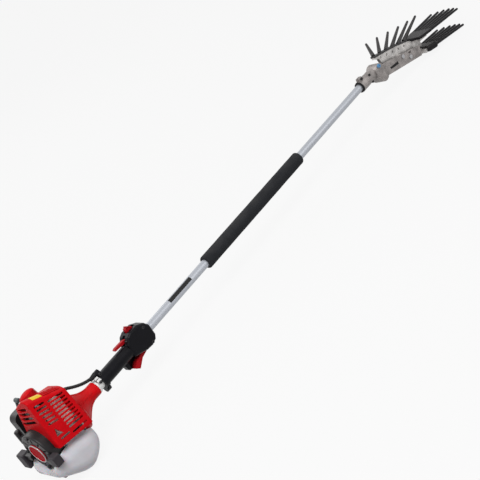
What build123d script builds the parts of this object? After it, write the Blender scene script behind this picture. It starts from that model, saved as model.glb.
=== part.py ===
"""Coffee harvester: a two-stroke engine drives a head whose two finger hands shake the branch.

Millimetres. X runs along the tube from the engine to the head, Y to the operator's left, Z up.
The shapes are drawn with the crank and tube axis at y = 0, z = 0 and x = 0 at the engine's middle.
The written pieces are lifted by AXIS_HEIGHT, so that the tank's feet stand on z = 0.
"""
import math
import os

from build123d import *

# Stance and fits
AXIS_HEIGHT = 123.0
RUN_FIT = 0.05
GAP = 0.5

# Tube, drive shaft and soft grip
TUBE_DIA = 26.0
TUBE_WALL = 1.5
TUBE_LENGTH = 1500.0
TUBE_IN_NOSE = 40.0
TUBE_IN_HEAD = 36.0
SHAFT_DIA = 8.0
BUSH_COUNT = 5
BUSH_LENGTH = 22.0
GRIP_START = 669.0
GRIP_LENGTH = 514.0
GRIP_DIA = 43.0
GRIP_ROUND = 4.0

# Fan case, flywheel and clutch
FAN_BACK = 42.0
FAN_DEPTH = 28.0
FAN_R = 60.0
FAN_WALL = 4.0
CONE_LENGTH = 60.0
NOSE_R = 21.0
NOSE_LENGTH = 24.0
CONE_RIBS = 6
CONE_RIB_T = 5.0
CONE_RIB_H = 1.5
CONE_CURVE = [(0.0, 54.0), (10.0, 46.5), (24.0, 36.0), (37.0, 28.0), (50.0, 23.0), (60.0, 21.0)]
FLYWHEEL_R = 46.0
FLYWHEEL_T = 12.0
BLADE_COUNT = 16
BLADE_H = 11.0
SHOE_R = 26.0
SHOE_T = 11.0
DRUM_WALL = 3.0
DRUM_GAP = 1.0
BEARING_BORE = 12.0
BEARING_OD = 28.0
BEARING_T = 8.0

# Crankcase, cylinder and crank train
CRANK_MID = 2.0
CASE_R = 36.0
CASE_HALF = 34.0
CASE_PLATE = 4.0
CASE_PAD_Z = 42.0
CHAMBER_R = 29.0
CHAMBER_HALF = 20.0
MAIN_BORE = 15.0
MAIN_OD = 35.0
MAIN_T = 11.0
DECK_Z = 36.0
CYL_BORE = 36.0
CYL_WALL = 5.0
CYL_TOP = 88.0
BASE_T = 6.0
BASE_SCREW = 22.0
BASE_GRIP = 12.0
FIN_COUNT = 6
FIN_T = 2.2
FIN_PITCH = 7.0
FIN_HALF_X = 29.0
FIN_HALF_Y = 27.0
CRANK_THROW = 15.0
CRANK_PIN_R = 6.0
WEB_R = 26.0
WEB_T = 9.0
ROD_LENGTH = 46.0
ROD_T = 9.0
PISTON_H = 32.0
PISTON_PIN_R = 4.5
CROWN_ABOVE_PIN = 16.0
PORT_Z = 62.0
PORT_R = 7.0
PORT_FACE = 34.0
PLUG_LEAN = 30.0
PLUG_R = 5.0

# Red cover and the dome over the plug
COVER_RIGHT = 80.0
COVER_RIGHT_TOP = 64.0
COVER_LEFT = 58.0
COVER_OPEN_Y = 44.0
COVER_OPEN_X = -42.0
COVER_WALL = 2.5
COVER_REAR_X = -57.0
COVER_REAR_LOW = 4.0
COVER_REAR_TOP = (-48.0, 150.0)
COVER_FRONT_TOP = (57.0, 103.0)
COVER_FRONT_X = 58.0
COVER_DIP = 9.5
COVER_REACH = 70.0
CROWN_Y = (-52.0, -38.0)
CROWN_RISE = 7.0
SHOULDER = (10.0, 130.0)
SHOULDER_FALL = 0.236
CORNER_LEAN = 0.414
CROWN_ROUND = 22.0
COVER_ROUND = 8.0
SHOULDER_ROUND = 14.0
COVER_EDGE = 5.0
SLOT_H = 6.0
LONG_SLOT = (22.5, 20.0, 49.0)
LONG_SLOTS = 9
LONG_PITCH = 10.8
LONG_DIP = (8.5, 15.0)
SHORT_SLOT = (-24.0, 65.0, 32.0)
SHORT_SLOTS = 6
SHORT_PITCH = 11.8
SHORT_DIP = 18.0
LOW_SLOTS = ((-23.0, 16.0, 31.0), (22.0, 3.0, 50.0))
CORNER_VENT = [(-42.0, 30.0), (-22.0, 26.0), (-34.0, 52.0)]
REAR_SLOTS = ((-21.0, 125.0, 46.0), (-18.0, 110.0, 58.0), (-15.0, 95.0, 68.0), (-12.0, 80.0, 76.0))
REAR_SLOT_H = 10.5
REAR_SLOT_TILT = 11.0
LOUVRES = 5
LOUVRE_SLOT = (25.0, -60.0, 46.0, 4.0)
LOUVRE_PITCH = 6.5
DOME_R = 25.0
DOME_H = 18.0
DOME_UP = 20.0
DOME_WALL = 3.5
DOME_GROOVE = (1.8, 2.0)
KNOB_R = 6.5

# Muffler, carburettor and air cleaner
MUFFLER_OUT = 62.0
MUFFLER_X = (-30.0, 34.0)
MUFFLER_Z = (22.0, 98.0)
MUFFLER_ROUND = 9.0
MUFFLER_FLANGE = 3.0
MUFFLER_OUTLET = (-17.0, 33.0)
SHEET = 1.5
INSULATOR_T = 12.0
CARB_T = 36.0
CARB_HALF = 18.0
SPIGOT_LENGTH = 8.0
SPIGOT_R = 14.0
CLEANER_X = (-46.0, 24.0)
CLEANER_Z = (-34.0, 79.0)
CLEANER_ROUND = 18.0
CLEANER_EDGE = 8.0
CLEANER_BASE_T = 4.0
CLEANER_COVER_T = 32.0
CLEANER_WALL = 2.5
FILTER_T = 12.0
PRIMER_R = 9.0
PRIMER_TRAVEL = 4.0
PRIMER_Y = 60.0
CHOKE_PIN_R = 3.0
CHOKE_PIN = (-24.0, 70.0)
CHOKE_KNOB = (-9.0, 112.0)

# Recoil starter
STARTER_R = 58.0
STARTER_DEPTH = 44.0
STARTER_WALL = 3.0
BADGE_R = 29.0
BADGE_T = 4.0
SPINDLE_R = 6.0
PULLEY_R = 34.0
PULLEY_T = 11.0
ROPE_DIA = 4.0
ROPE_LINE = 30.0
ROPE_LENGTH = 112.0
ROPE_EXIT = 62.0
SCREW_RING = 51.0
SPRING_T = 1.0
SPRING_H = 7.0
SPRING_TURNS = 5
SPRING_STEP = 3.0
SPRING_R = 13.0
HANDLE_GRIP_LENGTH = 44.0
HANDLE_GRIP_DIA = 18.0
HANDLE_STEM = 8.0
LEFT_FOOT = (26.0, 32.0, 46.0)
LEFT_FOOT_PLACE = (-85.0, 84.5, -30.0)
RIGHT_FOOT = (24.0, 27.0, 32.0)
RIGHT_FOOT_PLACE = (-82.0, -74.5, -11.0)
ARM_X = (-90.0, -78.0)
ARM_Y = (38.0, 84.0)
ARM_Z = (-24.0, -10.0)

# Fuel tank: sections along X, each (x, underside, top, half width, corner)
TANK_SECTIONS = (
    (-98.0, -62.0, -46.0, 42.0, 7.0),
    (-92.0, -72.0, -36.0, 56.0, 17.0),
    (-78.0, -83.0, -24.0, 67.0, 28.0),
    (-56.0, -98.0, -13.0, 75.0, 38.0),
    (-28.0, -115.0, -9.0, 78.0, 42.0),
    (-2.0, -121.0, -14.0, 78.0, 42.0),
    (24.0, -110.0, -21.0, 75.0, 38.0),
    (42.0, -96.0, -27.0, 68.0, 31.0),
    (53.0, -82.0, -35.0, 57.0, 20.0),
    (58.0, -71.0, -46.0, 42.0, 9.0),
)
TANK_MID = -20.0
TANK_REACH = 78.0
TANK_HALF_Y = 78.0
TANK_WALL = 3.0
TANK_GAP = 3.0
FOOT_H = 5.0
SKID_W = 16.0
SKID_HALF = 38.0
PAD_X = -66.0
PAD_Z = (-96.0, -76.0)
PAD_HALF = 26.0
NECK_R = 17.0
NECK_X = -4.0
NECK_Z = -68.0
NECK_OUT = 8.0
CAP_R = 22.0
CAP_T = 18.0

# Collar between the nose and the handle
COLLAR_LENGTH = 22.0
COLLAR_R = 17.0
COLLAR_FLANGE = 6.0
COLLAR_TURN = 35.0
EAR_HALF = 9.0
EAR_H = 9.0
SCREW_R = 2.5
SCREW_HEAD_R = 4.5
SCREW_HEAD_H = 4.0

# Control handle
HANDLE_LENGTH = 212.0
HANDLE_GRIP_R = 21.0
HANDLE_HALF_Y = 23.0
HANDLE_WALL = 3.0
HANDLE_BLOCK = 92.0
HANDLE_ROUND = 7.0
FLANGE_T = 14.0
LOBE_R = 11.0
LOBE_Z = 24.5
PIN_HALF = 16.0
TRIGGER_W = 18.0
TRIGGER_PIN_R = 3.0
TRIGGER_PIVOT = (174.0, -27.0)
LEVER_W = 10.0
LEVER_PIN_R = 2.0
LEVER_PIVOT = (128.0, 30.0)
SWITCH_W = 14.0
SWITCH_Z = 34.5
HANDLE_OUTLINE = [
    (120, 20), (134, 38), (148, 44), (180, 44), (202, 32), (212, 16),
    (212, -18), (204, -30), (186, -36), (164, -34), (142, -26), (120, -20),
]
GUARD_OUTLINE = [(84, -18), (88, -40), (93, -44), (97, -40), (99, -18)]
GUARD_HALF = 4.0
CHEEK_OUTLINE = [(88, -18), (94, -46), (112, -56), (128, -48), (150, -26), (150, -18)]
TRIGGER_OUTLINE = [
    (169, -22), (178, -30), (164, -38), (142, -43), (117, -61), (105, -51), (118, -39), (146, -30),
]
LEVER_OUTLINE = [(132, 27), (134, 33), (122, 36), (92, 37), (86, 34), (88, 30), (118, 27)]
SWITCH_OUTLINE = [(150, 34.5), (168, 34.5), (172, 47), (158, 58), (150, 52)]
CONDUIT_DIA = 9.0
CONDUIT_BORE = 5.0
CONDUIT_RIBS = 42
RIB_DEPTH = 0.8
CONDUIT_ROUTE = [(176.0, 0.0, 28.0), (140.0, 0.0, 28.0), (75.0, 56.0, 62.0), (24.0, 56.0, 62.0)]
CONDUIT_BEND = 46.0
BOSS_R = 6.5

# Head: gear case, arms and hands, drawn in a frame tilted down from the tube
BEND = 16.0
BEND_START = 40.0
SOCKET_R = 20.0
SOCKET_LENGTH = 84.0
SOCKET_EAR = 9.0
CLAMP_SLIT = 2.0
CAM_FROM_BEND = 60.0
CAM_R = 7.0
CAM_THROW = 6.0
CAM_SHAFT_R = 6.0
PINION_TEETH = 12
GEAR_TEETH = 24
GEAR_MODULE = 4.0 / 3.0
BEVEL_INNER = 0.625
MESH_GAP = 0.9
TOOTH_CUT = 1.2
PINION_SEAT = 62.0
SHAFT_IN_HEAD = 50.0
CAM_BEARING_OD = 20.0
CAM_BEARING_T = 5.0
CAM_Y = (-17.0, -8.0)
CASE_HALF_Y = 25.0
CASE_WALL = 4.0
CASE_ROUND = 12.0
CASE_EDGE = 2.0
BULGE_R = 23.0
SUMP_R = 26.0
SUMP_PLACE = (71.4, -2.4)
GREASE_R = 6.5
GREASE_PLACE = (52.9, 31.2)
GREASE_DEEP = 6.0
BEAM_HALF_Y = 22.0
BEAM_BACK = 60.0
BEAM_FRONT = 300.0
BEAM_TOP = 30.0
RECESS = [(112, 6), (120, -1), (164, 4), (162, 14)]
RECESS_DEEP = 2.5
BEAM_LOW = (-17.0, -7.0)
FLOOR_T = 3.5
FLOOR_END = 248.0
HUB_R = 11.0
HUB_HALF = 16.5
PIVOT_R = 5.0
UPPER_PIVOT = (195.0, 20.0)
SECTOR_R = 21.5
SECTOR_LINE = -17.6
SECTOR_STEP = 16.74
SECTOR_HALF = 6.0
ARM_HALF_Y = 9.0
FIN_HALF = 6.0
FIN_HOLE_W = 49.0
FIN_OUTLINE = [
    (66, 57), (126, 60), (187, 61), (258, 58), (306, 49), (330, 44),
    (335, 20), (300, 24), (262, 28), (205, 28), (120, 26), (98, 30), (90, 47), (66, 52),
]
RISER_OUTLINE = [(176, 20), (214, 20), (230, 37), (160, 37)]
TAIL_OUTLINE = [(56, -2), (195, -2), (195, 12), (176, 12), (160, 3), (56, 3)]
TAIL_Y = (-15.0, -9.0)
SEAT_BACK = 20.0
SEAT_FRONT = 24.0
SEAT_HALF = 32.0
SEAT_T = 6.0
COMB_FINGERS = 6
COMB_FIRST = 73.0
COMB_STEP = 35.4
COMB_STRIP_T = 6.0
COMB_HALF_Y = 9.0
COMB_LENGTHS = (70.0, 130.0)
COMB_LEAN = (41.0, 5.0)
COMB_RISE = (48.0, 27.0)
COMB_ROOT_R = 7.5
COMB_TIP_R = 4.2
FINGER_ROOT_R = 5.8
FINGER_TIP_R = 4.0
HAND_FINGERS = 6
HAND_PITCH = 15.5
HAND_TIP_PITCH = 23.5
HAND_ARC = 18.0
HAND_LENGTH = 226.0
PALM_LENGTH = 50.0
UPPER_T = 10.0
LOWER_T = 22.0
UPPER_ROOT = (318.0, 57.0)
UPPER_RISE = 10.0
LOWER_ROOT = (326.0, 4.0)
FLANGE_BACK = 6.0
LOW_BAR = (-5.0, 13.0)
LOW_FLANGE_HALF = 30.0

# Places that follow from the sizes above
FAN_FRONT = FAN_BACK + FAN_DEPTH
NOSE_BACK = FAN_FRONT + CONE_LENGTH
NOSE_END = NOSE_BACK + NOSE_LENGTH
TUBE_START = NOSE_END - TUBE_IN_NOSE
TUBE_END = TUBE_START + TUBE_LENGTH
HEAD_X = TUBE_END - TUBE_IN_HEAD
HANDLE_START = NOSE_END + COLLAR_LENGTH
HANDLE_END = HANDLE_START + HANDLE_LENGTH
BLOCK_START = HANDLE_END - HANDLE_BLOCK
CASE_BACK = CRANK_MID - CASE_HALF - CASE_PLATE
CASE_FRONT = FAN_BACK - CASE_PLATE
STARTER_BACK = CASE_BACK - STARTER_DEPTH
PULLEY_FRONT = CASE_BACK - 20.0
ROPE_X = PULLEY_FRONT - PULLEY_T / 2
FLYWHEEL_BACK = FAN_BACK + 4.0
SHOE_BACK = FLYWHEEL_BACK + FLYWHEEL_T + BLADE_H + 1.0
DRUM_R = SHOE_R + DRUM_GAP + DRUM_WALL
DRUM_END = SHOE_BACK + SHOE_T + 6.0
BEARING_BACK = DRUM_END + 2.0
CARB_FACE = PORT_FACE + INSULATOR_T
CLEANER_FACE = CARB_FACE + CARB_T
TANK_BOTTOM = FOOT_H - AXIS_HEIGHT
BORE_R = CYL_BORE / 2
TUBE_R = TUBE_DIA / 2
WRIST_Z = CRANK_THROW + ROD_LENGTH
GEAR_R = GEAR_MODULE * GEAR_TEETH / 2
PINION_R = GEAR_MODULE * PINION_TEETH / 2
PINION_FROM_CAM = GEAR_R
PINION_T = GEAR_R * (1 - BEVEL_INNER)
GEAR_FROM_CAM = PINION_R
GEAR_T = PINION_R * (1 - BEVEL_INNER)
HEAD_LOC = Pos(HEAD_X + BEND_START, 0, 0) * Rot(0, BEND, 0)
CAM_X = HEAD_X + BEND_START + CAM_FROM_BEND
CAM_PLACE = (CAM_FROM_BEND * math.cos(math.radians(BEND)), CAM_FROM_BEND * math.sin(math.radians(BEND)))
LOWER_PIVOT = (
    UPPER_PIVOT[0] + 2 * SECTOR_R * math.cos(math.radians(SECTOR_LINE)),
    UPPER_PIVOT[1] + 2 * SECTOR_R * math.sin(math.radians(SECTOR_LINE)),
)


def block(x0, x1, y0, y1, z0, z1):
    """Box between two corners."""
    middle = Pos((x0 + x1) / 2, (y0 + y1) / 2, (z0 + z1) / 2)
    return middle * Box(abs(x1 - x0), abs(y1 - y0), abs(z1 - z0))


def cyl_x(radius, x0, x1, y=0.0, z=0.0):
    """Cylinder along X."""
    return Pos((x0 + x1) / 2, y, z) * Rot(0, 90, 0) * Cylinder(radius, abs(x1 - x0))


def cyl_y(radius, y0, y1, x=0.0, z=0.0):
    """Cylinder along Y."""
    return Pos(x, (y0 + y1) / 2, z) * Rot(90, 0, 0) * Cylinder(radius, abs(y1 - y0))


def cyl_z(radius, z0, z1, x=0.0, y=0.0):
    """Cylinder along Z."""
    return Pos(x, y, (z0 + z1) / 2) * Cylinder(radius, abs(z1 - z0))


def ring_x(outer, inner, x0, x1, y=0.0, z=0.0):
    """Tube along X."""
    return cyl_x(outer, x0, x1, y, z) - cyl_x(inner, x0 - 1, x1 + 1, y, z)


def prism_y(points, y0, y1):
    """Solid of an (x, z) outline between two y values."""
    face = Plane.XZ * make_face(Polyline(*points, close=True))
    return Pos(0, y0, 0) * extrude(face, amount=y1 - y0, dir=(0, 1, 0))


def turned_x(points):
    """Solid of an (x, radius) outline turned about the X axis."""
    return revolve(Plane.XZ * make_face(Polyline(*points, close=True)), axis=Axis.X)


def turned_z(points):
    """Solid of a (radius, z) outline turned about the Z axis."""
    return revolve(Plane.XZ * make_face(Polyline(*points, close=True)), axis=Axis.Z)


def inset(points, amount):
    """Convex outline, given anticlockwise, with every side moved in by amount."""
    lines = []
    for (ax, ay), (bx, by) in zip(points, points[1:] + points[:1]):
        length = math.hypot(bx - ax, by - ay)
        nx, ny = -(by - ay) / length, (bx - ax) / length
        lines.append(((ax + nx * amount, ay + ny * amount), (bx - ax, by - ay)))
    moved = []
    for ((px, py), (dx, dy)), ((qx, qy), (ex, ey)) in zip(lines[-1:] + lines[:-1], lines):
        t = ((qx - px) * ey - (qy - py) * ex) / (dx * ey - dy * ex)
        moved.append((px + dx * t, py + dy * t))
    return moved


def group(solids):
    """Separate solids kept together in one node."""
    return Compound(children=list(solids))


def screw(length):
    """Socket screw pointing down Z, with the underside of its head at z = 0."""
    body = cyl_z(SCREW_R, -length, 0) + cyl_z(SCREW_HEAD_R, 0, SCREW_HEAD_H)
    socket = extrude(Pos(0, 0, SCREW_HEAD_H) * RegularPolygon(SCREW_R, 6), amount=-SCREW_HEAD_H * 0.6)
    return body - socket


def bearing(bore, outer, width):
    """Ball bearing on the Z axis: two races and a closed ring of balls."""
    third = (outer - bore) / 6
    inner = cyl_z(bore / 2 + third, 0, width) - cyl_z(bore / 2, -1, width + 1)
    race = cyl_z(outer / 2, 0, width) - cyl_z(outer / 2 - third, -1, width + 1)
    balls = cyl_z(outer / 2 - third, width * 0.3, width * 0.7)
    balls -= cyl_z(bore / 2 + third, 0, width)
    return inner + race + balls


def bearing_x(bore, outer, width, x):
    """Ball bearing along X, starting at x."""
    return Pos(x, 0, 0) * Rot(0, 90, 0) * bearing(bore, outer, width)


# Fuel tank


def tank_form(amount):
    """Tank outside, or its hollow when amount is the wall."""
    shrink = 1 - amount / TANK_REACH
    faces = []
    for x, low, high, half, corner in TANK_SECTIONS:
        face = RectangleRounded(2 * (half - amount), high - low - 2 * amount, corner - amount)
        faces.append(Pos(TANK_MID + (x - TANK_MID) * shrink, 0, (low + high) / 2) * (Plane.YZ * face))
    body = loft(faces)
    gap = TANK_GAP + amount
    reach = 2 * TANK_REACH
    body -= block(-reach, reach, -reach, reach, -reach, TANK_BOTTOM + amount)
    body -= cyl_x(FAN_R + gap, CASE_FRONT - gap, reach)
    body -= cyl_x(STARTER_R + gap, -reach, CASE_BACK + CASE_PLATE + gap)
    seat = CASE_R + gap
    return body - block(-reach, reach, -seat, seat, -CASE_PAD_Z - amount, 0)


def fuel_tank():
    """White shell with a filler neck on its left side."""
    neck_start = TANK_HALF_Y - 2 * TANK_WALL
    neck_end = TANK_HALF_Y + NECK_OUT
    body = tank_form(0) + cyl_y(NECK_R, neck_start, neck_end, NECK_X, NECK_Z)
    body -= tank_form(TANK_WALL)
    return body - cyl_y(NECK_R - TANK_WALL, neck_start - TANK_WALL, neck_end + 1, NECK_X, NECK_Z)


def tank_feet():
    """Rubber skid across the tank's lowest part, and a pad under its rear slope."""
    skid = block(-SKID_W / 2, SKID_W / 2, -SKID_HALF, SKID_HALF, -AXIS_HEIGHT, TANK_BOTTOM)
    skid = fillet(skid.edges().filter_by(Axis.Z), SKID_W / 4)
    pad = block(PAD_X - SKID_W / 2, PAD_X + SKID_W / 2, -PAD_HALF, PAD_HALF, PAD_Z[0], PAD_Z[1])
    pad = fillet(pad.edges().filter_by(Axis.Z), SKID_W / 4)
    pad = pad - tank_form(0)
    return group([skid, min(pad.solids(), key=lambda solid: solid.center().Z)])


def fuel_cap():
    """Knurled cap that covers the filler neck."""
    seat = TANK_HALF_Y + GAP
    end = TANK_HALF_Y + CAP_T
    cap = cyl_y(CAP_R, seat, end, NECK_X, NECK_Z)
    cap -= cyl_y(NECK_R + GAP, seat - 1, TANK_HALF_Y + NECK_OUT + GAP, NECK_X, NECK_Z)
    for index in range(16):
        angle = math.radians(index * 360 / 16)
        x = NECK_X + CAP_R * math.cos(angle)
        z = NECK_Z + CAP_R * math.sin(angle)
        cap -= cyl_y(1.6, seat + 3, end + 1, x, z)
    return cap


# Crankcase and crank train


def case_body(x0, x1):
    """Crankcase outside between two x values."""
    body = cyl_x(CASE_R, x0, x1)
    body += block(x0, x1, -PORT_FACE + 4, PORT_FACE - 4, 0, DECK_Z)
    return body + block(x0, x1, -CASE_R * 0.6, CASE_R * 0.6, -CASE_PAD_Z, 0)


def ring_places(count, radius, start):
    """Places (y, z) evenly round the crank axis."""
    angles = [math.radians(start + index * 360 / count) for index in range(count)]
    return [(radius * math.cos(angle), radius * math.sin(angle)) for angle in angles]


def base_screw_places():
    """Places (x, y) of the four cylinder base screws."""
    sides = (-BASE_SCREW, BASE_SCREW)
    return [(CRANK_MID + x, y) for x in sides for y in sides]


def case_hollow():
    """Crank chamber, bearing seats, shaft passage and the hole for the cylinder skirt."""
    back = CRANK_MID - CHAMBER_HALF
    front = CRANK_MID + CHAMBER_HALF
    hollow = cyl_x(CHAMBER_R, back, front)
    hollow += cyl_x(MAIN_OD / 2, back - MAIN_T, front + MAIN_T)
    hollow += cyl_x(MAIN_BORE / 2 + 1.5, CASE_BACK - 1, FAN_BACK + 1)
    for x, y in base_screw_places():
        hollow += cyl_z(SCREW_R, DECK_Z - BASE_GRIP, DECK_Z + 1, x, y)
    for y, z in ring_places(4, SCREW_RING, 0):
        hollow += cyl_x(SCREW_R, CASE_BACK - 1, CASE_BACK + CASE_PLATE + 1, y, z)
    return hollow + cyl_z(BORE_R + CYL_WALL - 2, 0, DECK_Z + 1, CRANK_MID)


def crankcase_front():
    """Front half with the round plate that carries the fan case."""
    body = case_body(CRANK_MID, CASE_FRONT) + cyl_x(FAN_R, CASE_FRONT, FAN_BACK)
    return body - case_hollow()


def crankcase_rear():
    """Rear half with the round plate that carries the starter."""
    body = case_body(CASE_BACK + CASE_PLATE, CRANK_MID) + cyl_x(STARTER_R, CASE_BACK, CASE_BACK + CASE_PLATE)
    return body - case_hollow()


def crankshaft():
    """Two webs, the crank pin at top dead centre and two journals."""
    half_pin = ROD_T / 2 + 1.0
    shaft = cyl_x(CRANK_PIN_R, CRANK_MID - half_pin - 1, CRANK_MID + half_pin + 1, z=CRANK_THROW)
    for side in (-1, 1):
        inner = CRANK_MID + side * half_pin
        outer = inner + side * WEB_T
        web = cyl_x(WEB_R, min(inner, outer), max(inner, outer))
        web -= block(CASE_BACK, FAN_FRONT, 12, WEB_R + 1, -4, WEB_R)
        web -= block(CASE_BACK, FAN_FRONT, -WEB_R - 1, -12, -4, WEB_R)
        shaft += web
    rear_end = CASE_BACK - 8.0
    shaft += cyl_x(MAIN_BORE / 2, rear_end, CRANK_MID - half_pin - 1)
    shaft += cyl_x(MAIN_BORE / 2, CRANK_MID + half_pin + 1, FAN_BACK + 2)
    return shaft + cyl_x(CRANK_PIN_R, FAN_BACK, FLYWHEEL_BACK + FLYWHEEL_T + 6)


def connecting_rod():
    """Rod with its two eyes, standing upright at top dead centre."""
    half = ROD_T / 2
    x0, x1 = CRANK_MID - half, CRANK_MID + half
    rod = cyl_x(CRANK_PIN_R + 4.5, x0, x1, z=CRANK_THROW) + cyl_x(PISTON_PIN_R + 3.5, x0, x1, z=WRIST_Z)
    rod += block(CRANK_MID - 2.5, CRANK_MID + 2.5, -5, 5, CRANK_THROW + 6, WRIST_Z - 4)
    rod -= cyl_x(CRANK_PIN_R + RUN_FIT, x0 - 1, x1 + 1, z=CRANK_THROW)
    return rod - cyl_x(PISTON_PIN_R + RUN_FIT, x0 - 1, x1 + 1, z=WRIST_Z)


def piston():
    """Piston with two ring grooves, and its pin."""
    crown = WRIST_Z + CROWN_ABOVE_PIN
    radius = BORE_R - RUN_FIT
    body = cyl_z(radius, crown - PISTON_H, crown, CRANK_MID)
    body -= cyl_z(radius - 3, crown - PISTON_H - 1, crown - 5, CRANK_MID)
    bosses = cyl_x(PISTON_PIN_R + 3, CRANK_MID - radius + 2, CRANK_MID - ROD_T / 2 - 1, z=WRIST_Z)
    bosses += cyl_x(PISTON_PIN_R + 3, CRANK_MID + ROD_T / 2 + 1, CRANK_MID + radius - 2, z=WRIST_Z)
    body += bosses
    for below in (3.0, 6.5):
        ring = cyl_z(radius + 1, crown - below - 1.2, crown - below, CRANK_MID)
        body -= ring - cyl_z(radius - 1.5, 0, crown + 1, CRANK_MID)
    body -= cyl_x(PISTON_PIN_R, CRANK_MID - BORE_R, CRANK_MID + BORE_R, z=WRIST_Z)
    pin = cyl_x(PISTON_PIN_R, CRANK_MID - radius + 3, CRANK_MID + radius - 3, z=WRIST_Z)
    return group([body, pin - cyl_x(PISTON_PIN_R - 2, -BORE_R, 2 * BORE_R, z=WRIST_Z)])


def plug_place(height):
    """Place on the leaning spark plug axis, height above its seat."""
    return Pos(CRANK_MID, 6, CYL_TOP) * Rot(-PLUG_LEAN, 0, 0) * Pos(0, 0, height)


def cylinder():
    """Finned cylinder and head in one casting."""
    barrel_r = BORE_R + CYL_WALL
    body = cyl_z(barrel_r, DECK_Z, CYL_TOP, CRANK_MID)
    body += cyl_z(barrel_r - 2 - GAP, DECK_Z - 10, DECK_Z, CRANK_MID)
    body += block(CRANK_MID - 28, CRANK_MID + 28, -28, 28, DECK_Z, DECK_Z + BASE_T)
    for index in range(FIN_COUNT):
        z = CYL_TOP - index * FIN_PITCH
        fin = extrude(RectangleRounded(2 * FIN_HALF_X, 2 * FIN_HALF_Y, 10), amount=FIN_T)
        body += Pos(CRANK_MID, 0, z - FIN_T) * fin
    body += block(CRANK_MID - 14, CRANK_MID + 14, -PORT_FACE, PORT_FACE, PORT_Z - 10, PORT_Z + 10)
    body -= cyl_z(BORE_R, DECK_Z - 11, CYL_TOP - 8, CRANK_MID)
    body -= cyl_y(PORT_R, -PORT_FACE - 1, PORT_FACE + 1, CRANK_MID, PORT_Z)
    for x, y in base_screw_places():
        body -= cyl_z(SCREW_R, DECK_Z - 1, DECK_Z + BASE_T + 1, x, y)
    body -= plug_place(0) * cyl_z(11, 2, 30)
    return body - plug_place(0) * cyl_z(PLUG_R, -20, 20)


def spark_plug():
    """Spark plug: thread, hexagon, insulator and terminal."""
    plug = cyl_z(PLUG_R, -9, 2) + extrude(Pos(0, 0, 2) * RegularPolygon(9, 6), amount=8)
    plug += cyl_z(PLUG_R, 10, 30) + cyl_z(2.5, 30, 34)
    return plug_place(0) * plug


def plug_boot():
    """Rubber boot over the plug."""
    boot = cyl_z(9, 12, 37) - cyl_z(PLUG_R, 11, 30) - cyl_z(2.5, 29, 34)
    return plug_place(0) * boot


def ball_bearings():
    """Main bearings, the clutch drum's bearing and the cam shaft's two bearings."""
    solids = [bearing_x(MAIN_BORE, MAIN_OD, MAIN_T, CRANK_MID - CHAMBER_HALF - MAIN_T)]
    solids.append(bearing_x(MAIN_BORE, MAIN_OD, MAIN_T, CRANK_MID + CHAMBER_HALF))
    solids.append(bearing_x(BEARING_BORE + 2 * RUN_FIT, BEARING_OD, BEARING_T, BEARING_BACK))
    solids.append(bearing_x(BEARING_BORE + 2 * RUN_FIT, BEARING_OD, BEARING_T, HEAD_X + PINION_SEAT))
    for y in (CASE_HALF_Y - 1.5, -CASE_HALF_Y + 1.5 + CAM_BEARING_T):
        race = bearing(2 * (CAM_SHAFT_R + RUN_FIT), CAM_BEARING_OD, CAM_BEARING_T)
        solids.append(Pos(CAM_X, y, 0) * Rot(90, 0, 0) * race)
    return group(solids)


# Fan case, flywheel and clutch


def cone_points(rise):
    """Concave curve of the cone, (x, radius), lifted by rise."""
    return [(FAN_FRONT + x, radius + rise) for x, radius in CONE_CURVE]


def fan_case():
    """Red casting: fan drum, ribbed concave cone and the nose that takes the tube."""
    curve = cone_points(0)
    drum = Polyline((NOSE_END, 0), (FAN_BACK, 0), (FAN_BACK, FAN_R), (FAN_FRONT - FAN_WALL, FAN_R), curve[0])
    outline = drum + Spline(*curve) + Polyline(curve[-1], (NOSE_END, NOSE_R), (NOSE_END, 0))
    body = revolve(Plane.XZ * make_face(outline), axis=Axis.X)
    ridge = cone_points(CONE_RIB_H)
    foot = [(NOSE_BACK, NOSE_R - CONE_RIB_T), (FAN_FRONT, NOSE_R - CONE_RIB_T)]
    rib_face = Plane.XZ * make_face(Spline(*ridge) + Polyline(ridge[-1], *foot, ridge[0]))
    rib = extrude(rib_face, amount=CONE_RIB_T / 2, both=True)
    for index in range(CONE_RIBS):
        body += Rot(index * 360 / CONE_RIBS, 0, 0) * rib
    inner_r = FAN_R - FAN_WALL
    room_r = DRUM_R + 1.5
    hollow = turned_x(
        [
            (FAN_BACK - 1, 0),
            (FAN_BACK - 1, inner_r),
            (FAN_FRONT - 8, inner_r),
            (FAN_FRONT + 0.5, inner_r - 9),
            (FAN_FRONT + 10, room_r + 6),
            (BEARING_BACK - 1, room_r),
            (BEARING_BACK - 1, BEARING_OD / 2),
            (BEARING_BACK + BEARING_T, BEARING_OD / 2),
            (BEARING_BACK + BEARING_T, BEARING_BORE / 2 + 2),
            (TUBE_START, BEARING_BORE / 2 + 2),
            (TUBE_START, TUBE_R),
            (NOSE_END + 1, TUBE_R),
            (NOSE_END + 1, 0),
        ]
    )
    return body - hollow


def flywheel():
    """Flywheel disc with fan blades on its front."""
    body = cyl_x(FLYWHEEL_R, FLYWHEEL_BACK, FLYWHEEL_BACK + FLYWHEEL_T)
    body -= ring_x(FLYWHEEL_R - 6, 22, FLYWHEEL_BACK - 1, FLYWHEEL_BACK + 4)
    front = FLYWHEEL_BACK + FLYWHEEL_T
    for index in range(BLADE_COUNT):
        blade = block(front - 1, front + BLADE_H, 34, FLYWHEEL_R - 1, -1.2, 1.2)
        body += Rot(index * 360 / BLADE_COUNT, 0, 0) * blade
    body += cyl_x(14, front - 1, SHOE_BACK - GAP)
    return body - cyl_x(CRANK_PIN_R + RUN_FIT, FLYWHEEL_BACK - 1, front + 7)


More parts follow.
